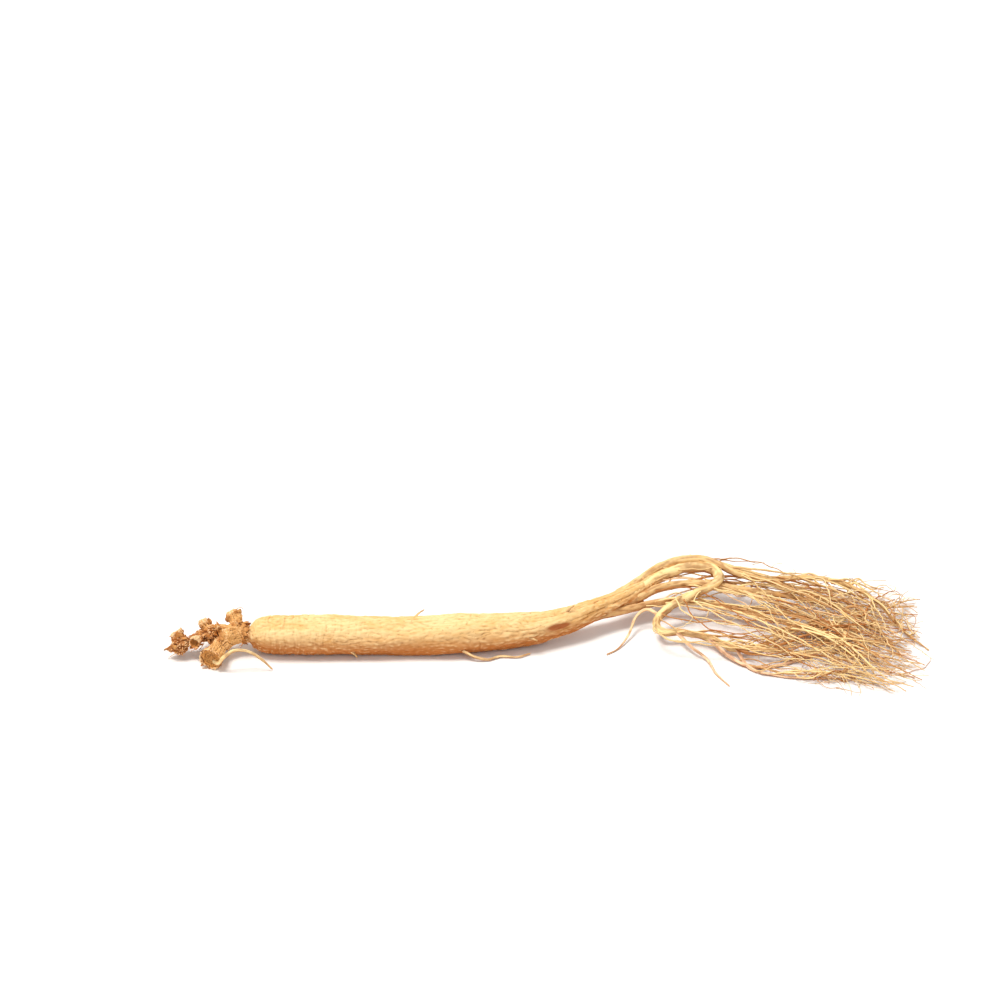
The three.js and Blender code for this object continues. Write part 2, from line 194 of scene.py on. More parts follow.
@dataclass(frozen=True)
class Bumps:
    """Noise on a surface: the size of its bumps, their height, and its shift from other noise."""

    size: Point
    height: float = 1
    shift: float = 0

    def at(self, noise: SmoothNoise, points: np.ndarray) -> np.ndarray:
        """Gives the height at each point."""
        return self.height * noise.at(points + self.shift, self.size)


@dataclass(frozen=True)
class Creases:
    """Winding creases: the size of the ridges between them, their flanks' reach and their depth."""

    size: Point
    width: float
    depth: float
    shift: float = 0

    def at(self, noise: SmoothNoise, points: np.ndarray) -> np.ndarray:
        """Gives the depth at each point."""
        return self.depth * (1 - noise.ridges(points + self.shift, self.size, self.width))


class Cobbles:
    """Repeatable rounded bumps in space, packed edge to edge with sharp creases between them."""

    def __init__(self, seed: int) -> None:
        """Draws the middles of the bumps.

        Args:
            seed: What makes these bumps their own.
        """
        draw = np.random.default_rng(seed)
        self._order = draw.permutation(256)
        self._spots = draw.random((256, 3))

    def at(self, points: np.ndarray, size: float) -> np.ndarray:
        """Reads the bumps.

        Args:
            points: One row of three numbers for each place.
            size: The width of one bump.

        Returns:
            From 0 in a crease to 1 on top of a bump.
        """
        scaled = points / size
        cell = np.floor(scaled).astype(int)
        inside = scaled - cell
        nearest = np.full(len(points), 9.0)
        second = nearest.copy()
        for shift in itertools.product((-1, 0, 1), repeat=3):
            key = (cell + shift) & 255
            slot = self._order[key[:, 0]]
            slot = self._order[(slot + key[:, 1]) & 255]
            slot = self._order[(slot + key[:, 2]) & 255]
            gap = np.linalg.norm(self._spots[slot] + shift - inside, axis=1)
            second = np.minimum(second, np.maximum(nearest, gap))
            nearest = np.minimum(nearest, gap)
        return 1 - (1 - np.clip((second - nearest) / 0.55, 0, 1)) ** 2


@dataclass
class Route:
    """A smooth line through given corners, read by the share of its length."""

    corners: Sequence[Point]
    samples: int = 400

    def __post_init__(self) -> None:
        """Measures the line."""
        points, _ = self._at(np.linspace(0, 1, self.samples + 1))
        steps = np.linalg.norm(np.diff(points, axis=0), axis=1)
        self._reach = np.concatenate([[0], np.cumsum(steps)])
        self.length = float(self._reach[-1])

    def _at(self, t: np.ndarray) -> tuple[np.ndarray, np.ndarray]:
        """Reads the line by corner.

        Args:
            t: Places from 0 at the first corner to 1 at the last.

        Returns:
            The points there, and the directions along.
        """
        corners = np.array(self.corners, float)
        ends = 2 * corners[0] - corners[1], 2 * corners[-1] - corners[-2]
        padded = np.vstack([ends[0], corners, ends[1]])
        spot = np.clip(t, 0, 1) * (len(corners) - 1)
        start = np.minimum(spot.astype(int), len(corners) - 2)
        w = (spot - start)[:, None]
        before, first, second, after = (padded[start + k] for k in range(4))
        lead = (second - before) / 2
        trail = (after - first) / 2
        bow = 3 * (second - first) - 2 * lead - trail
        turn = lead + trail - 2 * (second - first)
        return first + w * (lead + w * (bow + w * turn)), lead + w * (2 * bow + 3 * w * turn)

    def frames(self, shares: np.ndarray) -> tuple[np.ndarray, np.ndarray, np.ndarray, np.ndarray]:
        """Gives the level frames along the line.

        Args:
            shares: Shares of the line's length.

        Returns:
            The middles, and the directions along, to the front side and up.
        """
        even = np.linspace(0, 1, self.samples + 1)
        t = np.interp(np.asarray(shares) * self.length, self._reach, even)
        middles, along = self._at(t)
        along /= np.linalg.norm(along, axis=1, keepdims=True)
        side = np.cross(along, (0, 0, 1))
        side /= np.linalg.norm(side, axis=1, keepdims=True)
        return middles, along, side, np.cross(side, along)

    def unrolled(self, points: np.ndarray) -> np.ndarray:
        """Lays the space round the line out straight.

        Args:
            points: Places near the line.

        Returns:
            Each one's offset to the side and up from the line, and its distance along it.
        """
        shares = np.linspace(0, 1, self.samples + 1)
        middles, along, side, up = self.frames(shares)
        near = np.empty(len(points), int)
        for start in range(0, len(points), 20000):
            chunk = points[start : start + 20000]
            gaps = ((chunk[:, None, :2] - middles[None, :, :2]) ** 2).sum(axis=2)
            near[start : start + 20000] = gaps.argmin(axis=1)
        offset = points - middles[near]
        reach = shares[near] * self.length + np.einsum("ij,ij->i", offset, along[near])
        return np.column_stack(
            [
                np.einsum("ij,ij->i", offset, side[near]),
                np.einsum("ij,ij->i", offset, up[near]),
                reach,
            ]
        )


@dataclass
class Form:
    """Closed surfaces gathered for one mesh, with the grain and the marks of their vertices."""

    points: list[np.ndarray] = field(default_factory=list)
    faces: list[tuple[int, ...]] = field(default_factory=list)
    grain: list[np.ndarray] = field(default_factory=list)
    marks: dict[Mark, list[np.ndarray]] = field(default_factory=dict)
    count: int = 0

    def add(
        self,
        points: np.ndarray,
        faces: Iterable[tuple[int, ...]],
        grain: np.ndarray,
        marks: dict[Mark, np.ndarray],
    ) -> None:
        """Adds one closed surface.

        Args:
            points: Its vertices.
            faces: Its faces, by its own vertices.
            grain: Its unrolled place at each vertex.
            marks: Its marks at each vertex.
        """
        self.faces += [tuple(corner + self.count for corner in face) for face in faces]
        self.points.append(points)
        self.grain.append(grain)
        for mark, values in marks.items():
            self.marks.setdefault(mark, []).append(values)
        self.count += len(points)

    def to_mesh(self, name: str, scale: float) -> bpy.types.Mesh:
        """Makes the mesh.

        Args:
            name: Its name.
            scale: What its lengths are multiplied by.

        Returns:
            The mesh.
        """
        mesh = bpy.data.meshes.new(name)
        mesh.from_pydata(np.concatenate(self.points) * scale, [], self.faces)
        mesh.update()
        return mesh

    def to_piece(self, name: str, material: bpy.types.Material) -> bpy.types.Object:
        """Makes a finished piece that rides on the root and stands for its solid.

        Args:
            name: Its name.
            material: Its finish.

        Returns:
            The piece.
        """
        mesh = self.to_mesh(name, MM)
        mesh.shade_smooth()
        grain = mesh.attributes.new("grain", "FLOAT_VECTOR", "POINT")
        grain.data.foreach_set("vector", np.concatenate(self.grain).astype(np.float32).ravel())
        for mark, values in self.marks.items():
            layer = mesh.attributes.new(mark.value, "FLOAT", "POINT")
            layer.data.foreach_set("value", np.concatenate(values).astype(np.float32))
        mesh.materials.append(material)
        piece = bpy.data.objects.new(name, mesh)
        bpy.context.collection.objects.link(piece)
        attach(piece, BODY)
        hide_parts(NODE)
        log.info("%s: %d vertices, %d faces", name, len(mesh.vertices), len(mesh.polygons))
        return piece


Relief = Callable[[np.ndarray], np.ndarray]


def _even(grain: np.ndarray) -> np.ndarray:
    """Adds no relief."""
    return np.zeros(len(grain))


def add_tube(
    form: Form,
    frames: tuple[np.ndarray, np.ndarray, np.ndarray, np.ndarray],
    radii: np.ndarray,
    sides: int,
    relief: Relief,
    tint: float = 0.5,
    flat: float = 1,
) -> None:
    """Adds a closed tube with folds and lumps on it.

    Args:
        form: What the tube is added to.
        frames: The level frames along its middle.
        radii: Its radius at each frame.
        sides: How many sides it has.
        relief: What is added to the radius, by the unrolled place.
        tint: The tube's own shade, 0 to 1.
        flat: Its height as a share of its width.
    """
    middles, along, side, up = frames
    rings = len(middles)
    turns = np.arange(sides) * 2 * math.pi / sides
    reach = np.concatenate([[0], np.cumsum(np.linalg.norm(np.diff(middles, axis=0), axis=1))])
    across = radii[:, None] * np.sin(turns)
    above = radii[:, None] * np.cos(turns)
    grain = np.dstack([across, above, np.repeat(reach[:, None], sides, axis=1)]).reshape(-1, 3)
    added = relief(grain).reshape(rings, sides)
    full = (np.maximum(radii[:, None] + added, 0.3 * radii[:, None]))[..., None]
    out, over = np.sin(turns)[None, :, None], flat * np.cos(turns)[None, :, None]
    directions = side[:, None, :] * out + up[:, None, :] * over
    skin = (middles[:, None, :] + full * directions).reshape(-1, 3)
    ends = np.vstack([middles[0], middles[-1] + along[-1] * radii[-1]])
    points = np.vstack([skin, ends])
    points[:, 2] = np.maximum(points[:, 2], 0)
    base, tip = rings * sides, rings * sides + 1
    faces: list[tuple[int, ...]] = []
    for i, j in itertools.product(range(rings - 1), range(sides)):
        k = (j + 1) % sides
        faces.append((i * sides + j, i * sides + k, (i + 1) * sides + k, (i + 1) * sides + j))
    for j in range(sides):
        k = (j + 1) % sides
        faces.append((k, j, base))
        faces.append(((rings - 1) * sides + j, (rings - 1) * sides + k, tip))
    share = np.append(np.repeat(reach / reach[-1], sides), [0, 1])
    marks = {
        # Painted shade in creases and painted highlight on folds, from the tube's own relief.
        Mark.SHADE_AND_HIGHLIGHT: np.append(np.clip(added.ravel() / (0.16 * radii.max()), -1, 1), [0, 0]),
        Mark.TIP: share,
        Mark.TINT: np.full(len(points), tint),
        Mark.STAIN: np.zeros(len(points)),
        # Painted shade on the tube's underside.
        Mark.UNDERSIDE_SHADE: np.append(np.tile(0.5 - 0.5 * np.cos(turns), rings), [0.5, 0.5]),
    }
    grain = np.vstack([grain, [0, 0, 0], [0, 0, reach[-1]]])
    form.add(points, faces, grain, marks)


@dataclass
class Skin:
    """An even mesh that was fused from overlapping forms, as arrays that can be reshaped."""

    points: np.ndarray
    normals: np.ndarray
    edges: np.ndarray
    faces: list[tuple[int, ...]]

    @classmethod
    def fused(cls, form: Form, cell: float) -> Skin:
        """Joins overlapping closed forms into one skin.

        Args:
            form: The closed forms.
            cell: The size of the skin's faces.

        Returns:
            The skin.
        """
        source = bpy.data.objects.new("fusing", form.to_mesh("fusing", 1))
        bpy.context.collection.objects.link(source)
        remesh = source.modifiers.new("fuse", "REMESH")
        remesh.mode = "VOXEL"
        remesh.voxel_size = cell
        graph = bpy.context.evaluated_depsgraph_get()
        mesh = bpy.data.meshes.new_from_object(source.evaluated_get(graph))
        bpy.data.objects.remove(source)
        points = np.empty(3 * len(mesh.vertices))
        mesh.vertices.foreach_get("co", points)
        edges = np.empty(2 * len(mesh.edges), int)
        mesh.edges.foreach_get("vertices", edges)
        faces = [tuple(polygon.vertices) for polygon in mesh.polygons]
        skin = cls(points.reshape(-1, 3), np.zeros((0, 3)), edges.reshape(-1, 2), faces)
        bpy.data.meshes.remove(mesh)
        skin.points = skin.averaged(skin.points, 2)
        skin.normals = skin.outward()
        return skin

    def averaged(self, values: np.ndarray, rounds: int) -> np.ndarray:
        """Averages each vertex's values with its neighbours'.

        Args:
            values: One row for each vertex.
            rounds: How many times.

        Returns:
            The averaged rows.
        """
        one, other = self.edges.T
        count = np.bincount(self.edges.ravel(), minlength=len(values))
        for _ in range(rounds):
            columns = [
                np.bincount(one, values[other, c], len(values))
                + np.bincount(other, values[one, c], len(values))
                for c in range(values.shape[1])
            ]
            values = 0.5 * values + 0.5 * np.column_stack(columns) / count[:, None]
        return values

    def outward(self) -> np.ndarray:
        """Works out which way is out.

        Returns:
            The direction out of the skin at each vertex.
        """
        quads = np.array([face if len(face) == 4 else face + face[-1:] for face in self.faces])
        corners = self.points[quads]
        flat = np.cross(corners[:, 2] - corners[:, 0], corners[:, 3] - corners[:, 1])
        total = np.column_stack(
            [
                np.bincount(quads.ravel(), np.repeat(flat[:, c], 4), len(self.points))
                for c in range(3)
            ]
        )
        return total / np.maximum(np.linalg.norm(total, axis=1, keepdims=True), 1e-9)

    def push(self, distance: np.ndarray) -> None:
        """Moves each vertex out by its own distance, and none of them below the table."""
        self.points = self.points + self.normals * distance[:, None]
        self.points[:, 2] = np.maximum(self.points[:, 2], 0)

    def hollows(self, rounds: int, depth: float) -> np.ndarray:
        """Tells hollows from bumps.

        Args:
            rounds: How far round each vertex is looked at.
            depth: The height of a full bump.

        Returns:
            From -1 in a hollow to 1 on a bump.
        """
        height = ((self.points - self.averaged(self.points, rounds)) * self.normals).sum(axis=1)
        return np.clip(height / depth, -1, 1)


@dataclass(frozen=True)
class SideRoot:
    """A side root: the corners of its middle line, its radii at its base and tip, and its shade."""

    corners: tuple[Point, ...]
    base: float
    tip: float
    tint: float

    def radius(self, share: np.ndarray) -> np.ndarray:
        """Gives its radius at shares of its length."""
        return self.base + (self.tip - self.base) * np.power(share, 1.25)


SIDE_ROOTS = {
    "upper": SideRoot(
        (
            (70, 17.5, 8.6), (80.8, 26.6, 10.4), (91.7, 37.2, 13), (101.5, 41.2, 14.5),
            (110.6, 39.6, 14.8), (118.3, 34, 13.5), (126, 31.8, 12), (134, 32.4, 11.2),
            (145.6, 34.8, 10.6), (157.1, 33.8, 9), (168.7, 26.4, 6), (177.4, 11, 2.2),
            (185, 0.6, 0.25),
        ),
        base=1.95, tip=0.32, tint=0.6,
    ),
    "hooked": SideRoot(
        (
            (70, 14.5, 8), (80.8, 22.8, 9.6), (91, 32.4, 11.5), (100.8, 37.4, 13),
            (109, 37.4, 13.4), (113.2, 33, 12.6), (111.4, 28.4, 11.4), (101, 22.2, 9.2),
            (92.6, 15.2, 7.2), (90, 9.2, 5.6), (92.8, 5.4, 4.8), (98.7, 5.6, 4.5), (109, 2.6, 3.6),
            (116, -2.3, 2.5), (123.5, -1.2, 2.3), (131.2, 4, 2.6), (141, 11.6, 3),
            (152, 16.4, 2.2), (162, 13, 0.8),
        ),
        base=2.35, tip=0.34, tint=0.4,
    ),
    "middle": SideRoot(
        (
            (70, 16, 7), (82.9, 22.4, 8.6), (92.8, 29, 9.8), (105, 31.4, 10), (119, 29.6, 9),
            (136.5, 27, 7.4), (154, 23, 5.4), (166.5, 13.6, 3), (175, -4, 0.7),
        ),
        base=1.8, tip=0.3, tint=0.64,
    ),
    "lower": SideRoot(
        (
            (68, 13, 6.4), (80, 18.4, 6.6), (94, 24.4, 6.4), (109, 24.6, 5.6), (125, 19.4, 4.6),
            (140, 11.6, 3.4), (152.2, 1, 2), (163.8, -11.9, 0.7),
        ),
        base=1.55, tip=0.3, tint=0.72,
    ),
    "front": SideRoot(
        (
            (108, 3, 3.7), (114.2, -5.6, 1.8), (121.1, -11.7, 0.9), (129.5, -11.5, 0.7),
            (138, -7.6, 0.8), (153, 1.6, 1.3), (160, 11, 1.7), (163.4, 22, 2.2),
        ),
        base=0.75, tip=0.28, tint=0.1,
    ),
    "front_low": SideRoot(
        (
            (117.4, -2.4, 2.4), (121.6, -13, 0.8), (130, -17.4, 0.6), (141, -19.4, 0.5),
            (157, -18.4, 0.2),
        ),
        base=0.65, tip=0.28, tint=0.05,
    ),
    "spur": SideRoot(
        ((97, 5.4, 4.6), (102, -2, 2.8), (107, -7.4, 1.2), (109.6, -16, 0.5), (113.6, -24, 0.2)),
        base=0.7, tip=0.28, tint=0.15,
    ),
    "back_loop": SideRoot(
        (
            (91.8, 13.4, 6.6), (87, 17, 7.4), (83, 15.6, 5), (80.4, 9, 2), (76.6, 1.6, 0.5),
            (72.4, -2.6, 0.4),
        ),
        base=0.65, tip=0.28, tint=0.2,
    ),
    "back_low": SideRoot(
        (
            (103, 31, 10), (114, 36.6, 7.6), (127, 41.6, 4.4), (142, 44.4, 1.6), (155, 43.6, 0.5),
            (166, 40, 0.2),
        ),
        base=0.7, tip=0.28, tint=0.6,
    ),
    "clinging": SideRoot(
        (
            (22, -5.4, 3.4), (26.6, -6.8, 1.6), (31, -6.6, 0.7), (35.4, -4.4, 0.7),
            (41, -4.8, 0.6), (45.5, -2.4, 0.6),
        ),
        base=0.6, tip=0.28, tint=0.25,
    ),
    "neck_arch": SideRoot(
        (
            (-64, -11.6, 2.8), (-62, -13.4, 3), (-60.4, -13.8, 5.6), (-56.4, -13.2, 8),
            (-52, -12.8, 7.4), (-47.6, -13, 4.6), (-43.8, -13.4, 0.7),
        ),
        base=0.8, tip=0.3, tint=0.3,
    ),
}
FORKS = ("upper", "hooked", "middle", "lower")


@dataclass
class Taproot:
    """The plump main root with its shoulder, its wrinkles and the starts of its forks."""

    line: tuple[Point, ...] = (
        (-53, 0, 7.2), (-43.5, -0.3, 7.1), (-24.5, -0.6, 6.9), (0, 0.2, 6.5), (17.5, 0.6, 6.75),
        (31.5, 1.9, 6.8), (43.8, 4.1, 6.8), (53.5, 7.2, 7), (62.3, 11.6, 7.5), (70, 16.2, 8.4),
        (77.7, 21.2, 9.4), (84, 26, 10.5), (90.5, 31.2, 11.6), (97, 35.2, 12.4),
    )
    radii: tuple[tuple[float, float], ...] = (
        (0, 6.8), (10, 7.05), (28, 7.15), (53, 6.85), (70, 7.1), (84, 6.8), (95, 6.3), (106, 5.5),
        (115, 5), (124, 4.4), (132, 3.7), (140, 2.9), (148, 1.9), (160, 0.7),
    )
    shoulder: float = 9
    squareness: float = 2.4
    core_sides: int = 72
    dome_rings: int = 30
    body_rings: tuple[float, float, float] = (10, 162, 1.2)
    fork_rings: int = 60
    fork_sides: int = 20
    fork_reach: float = 48
    fork_share: float = 0.36
    fork_swell: tuple[float, float] = (1.14, 0.8)
    cell: float = 0.31
    tail: tuple[float, float] = (84, 128)
    lumps: tuple[Bumps, ...] = (Bumps((8, 8, 22), 0.3, 9), Bumps((3.4, 3.4, 8), 0.16, 5))
    fold_count: int = 5
    fold_depth: float = 0.16
    fold_twist: float = 0.141
    thin_radius: float = 5
    thin_relief: float = 0.45
    patches: Bumps = Bumps((9, 9, 22))
    patch_edge: tuple[float, float] = (-0.4, 0.5)
    patch_depths: tuple[float, float] = (0.55, 0.45)
    warp: Bumps = Bumps((3, 3, 6), 0.7, 70)
    wrinkles: tuple[Creases, ...] = (
        Creases((2.7, 2.7, 8), 0.6, 0.3),
        Creases((1.5, 1.5, 4.2), 0.7, 0.3, 30),
    )
    tail_wrinkles: float = 0.5
    crepe: Bumps = Bumps((1, 1, 1.7), 0.2, 55)
    pleat_count: float = 3.5
    pleat_wander: Bumps = Bumps((6, 6, 30), 0.9, 61)
    pleat_twist: float = 0.02
    pleat_roundness: float = 0.6
    pleat_depths: tuple[float, float] = (0.12, 0.87)
    ring_spacing: float = 2.7
    ring_depth: float = 0.22
    ringed: float = 48
    ring_lean: float = 0.5
    ring_twist: float = 0.13
    ring_drifts: tuple[Bumps, ...] = (Bumps((6, 6, 9), 0.9), Bumps((2.2, 2.2, 3), 0.5, 90))
    ring_gaps: Bumps = Bumps((6, 6, 3), 1, 40)
    ring_gap_edge: tuple[float, float] = (-0.7, 0.4)
    ring_fade: float = 0.8
    minor_ring: tuple[float, float] = (0.4, 2.6)
    scar_count: int = 46
    scar_stretch: tuple[float, float] = (3, 120)
    scar_crowding: float = 1.4
    scar_widths: tuple[float, float] = (0.5, 1.9)
    scar_shares: tuple[float, float] = (0.4, 1)
    scar_reach: float = 2
    scar_height: float = 0.36
    scar_depth: float = 0.16
    scar_seed: int = 77
    stain_place: tuple[float, float] = (107.6, 1.3)
    stain_size: tuple[float, float] = (1.2, 3.6)
    stain_radius: float = 6
    stain_strength: float = 1.3
    stain_edge: Bumps = Bumps((1.5, 1.5, 3), 0.5)
    # Where the painted shade at the shoulder, beside the rhizome, fades out.
    crown_shade_edge: tuple[float, float] = (0.2, 2.6)
    # Weights of the painted shade and highlight read from hollows and bumps: share, rounds, depth.
    hollows: tuple[tuple[float, int, float], ...] = ((0.6, 14, 0.26), (0.55, 4, 0.11))
    tints: tuple[float, float] = (0.45, 0.35)
    seed: int = 11

    def __post_init__(self) -> None:
        """Lays the middle line."""
        self.route = Route(self.line)
        self.noise = SmoothNoise(self.seed)

    def radius(self, distance: np.ndarray) -> np.ndarray:
        """Gives the plain radius.

        Args:
            distance: Distances from the shoulder.

        Returns:
            The radius at each.
        """
        into = np.minimum(distance / self.shoulder, 1)
        dome = (1 - (1 - into) ** self.squareness) ** (1 / self.squareness)
        return smooth_value(self.radii, distance) * dome

    def _core(self) -> Form:
        """Gathers the plain taproot and the starts of its forks.

        Returns:
            Their overlapping forms.
        """
        form = Form()
        dome = self.shoulder * np.linspace(0, 1, self.dome_rings) ** 2
        distances = np.concatenate([dome, np.arange(*self.body_rings)])
        distances = distances[distances < self.route.length]
        frames = self.route.frames(distances / self.route.length)
        radii = np.maximum(self.radius(distances), 0.05)
        add_tube(form, frames, radii, self.core_sides, _even)
        for name in FORKS:
            root = SIDE_ROOTS[name]
            route = Route(root.corners)
            last = min(self.fork_share, self.fork_reach / route.length)
            shares = np.linspace(0, last, self.fork_rings)
            radii = root.radius(shares) * np.linspace(*self.fork_swell, len(shares))
            add_tube(form, route.frames(shares), radii, self.fork_sides, _even)
        return form

    def _rings(self, grain: np.ndarray, angle: np.ndarray) -> np.ndarray:
        """Draws the broken ring grooves below the shoulder.

        Args:
            grain: The unrolled places.
            angle: The angle round the root at each.

        Returns:
            The depth of the groove at each.
        """
        drift = self.ring_lean * np.sin(2 * angle + self.ring_twist * grain[:, 2])
        drift = drift + sum(bumps.at(self.noise, grain) for bumps in self.ring_drifts)
        turn = 2 * math.pi * (grain[:, 2] + drift) / self.ring_spacing
        share, rate = self.minor_ring
        groove = (0.5 + 0.5 * np.cos(turn)) ** 2
        groove = groove + share * (0.5 + 0.5 * np.cos(rate * turn + 1)) ** 2
        broken = smooth_step(*self.ring_gap_edge, self.ring_gaps.at(self.noise, grain))
        fade = np.clip(1 - grain[:, 2] / self.ringed, 0, 1) ** self.ring_fade
        return groove * broken * fade

    def _scars(self, grain: np.ndarray, angle: np.ndarray) -> np.ndarray:
        """Draws the short scars across the root where fine rootlets grew.

        Args:
            grain: The unrolled places.
            angle: The angle round the root at each.

        Returns:
            The depth of the scars at each.
        """
        stream = Stream(self.scar_seed)
        total = np.zeros(len(grain))
        radius = self.radii[0][1]
        first, span = self.scar_stretch
        for _ in range(self.scar_count):
            place = first + span * stream.next() ** self.scar_crowding
            turn = stream.between(-math.pi, math.pi)
            wide = stream.between(*self.scar_widths)
            deep = stream.between(*self.scar_shares)
            near = np.abs(grain[:, 2] - place) < self.scar_reach
            across = np.angle(np.exp(1j * (angle[near] - turn))) * radius / wide
            down = (grain[near, 2] - place + 0.15 * np.sin(3 * across)) / self.scar_height
            total[near] += deep * np.exp(-(across**2) - down**2)
        return total

    def _stain(self, grain: np.ndarray, angle: np.ndarray) -> np.ndarray:
        """Draws the one ragged stain.

        Args:
            grain: The unrolled places.
            angle: The angle round the root at each.

        Returns:
            How much the stain covers each.
        """
        place, turn = self.stain_place
        width, length = self.stain_size
        across = np.angle(np.exp(1j * (angle - turn))) * self.stain_radius
        along = grain[:, 2] - place
        ragged = 1 + self.stain_edge.at(self.noise, grain)
        spread = np.exp(-((across / width) ** 2) - (along / length) ** 2)
        return self.stain_strength * spread * ragged

    def build(self, material: bpy.types.Material) -> bpy.types.Object:
        """Makes the taproot's skin.

        Args:
            material: The dried skin.

        Returns:
            The piece.
        """
        skin = Skin.fused(self._core(), self.cell)
        grain = self.route.unrolled(skin.points)
        angle = np.arctan2(grain[:, 0], grain[:, 1])
        noise = self.noise
        tail = smooth_step(*self.tail, grain[:, 2])
        least, more = self.patch_depths
        patchy = least + more * smooth_step(*self.patch_edge, self.patches.at(noise, grain))
        thin = np.clip(self.radius(grain[:, 2]) / self.thin_radius, self.thin_relief, 1)
        lumps = sum(bumps.at(noise, grain) for bumps in self.lumps)
        folds = self.fold_depth * np.sin(self.fold_count * angle + self.fold_twist * grain[:, 2])
        warped = grain + self.warp.at(noise, grain)[:, None] * (1, 1, 0)
        wrinkles = sum(creases.at(noise, warped) for creases in self.wrinkles)
        wrinkles = (1 + self.tail_wrinkles * tail) * wrinkles
        wander = self.pleat_wander.at(noise, grain) + self.pleat_twist * grain[:, 2]
        pleats = np.abs(np.sin(self.pleat_count * angle + wander)) ** self.pleat_roundness
        shallow, deep = self.pleat_depths
        wrinkles += (shallow + (deep - shallow) * tail) * (1 - pleats)
        scars = self._scars(grain, angle)
        # How much painted shade falls at the shoulder, beside the rhizome.
        crown = 1 - smooth_step(*self.crown_shade_edge, grain[:, 2])
        skin.push(
            (lumps + folds) * thin
            - patchy * wrinkles * thin
            - self.ring_depth * self._rings(grain, angle)
            - self.scar_depth * scars
            + self.crepe.at(noise, grain)
        )
        # Painted shade in hollows, scars and at the shoulder, and painted highlight on bumps.
        relief = sum(share * skin.hollows(*seen) for share, *seen in self.hollows)
        relief = relief - 0.3 * np.clip(scars, 0, 1) - 0.6 * crown
        form = Form()
        form.add(
            skin.points,
            skin.faces,
            grain,
            {
                Mark.SHADE_AND_HIGHLIGHT: np.clip(relief, -1, 1),
                Mark.TIP: np.zeros(len(grain)),
                Mark.TINT: self.tints[0] + self.tints[1] * tail,
                Mark.STAIN: np.clip(self._stain(grain, angle), 0, 1),
                # Painted shade on the taproot's underside.
                Mark.UNDERSIDE_SHADE: 0.5 - 0.5 * np.cos(angle),
            },
        )
        return form.to_piece("taproot", material)


@dataclass(frozen=True)
class StemBase:
    """An old stem base: a short stub that flares to the cup where its stem fell off."""

    start: Point
    end: Point
    narrow: float
    wide: float

    @property
    def length(self) -> float:
        """The stub's length."""
        return math.dist(self.start, self.end)

    def outline(self, distance: np.ndarray) -> np.ndarray:
        """Gives the stub's radius at distances from its start."""
        share = distance / self.length
        return self.narrow + (self.wide - self.narrow) * smooth_step(0.45, 0.9, share)


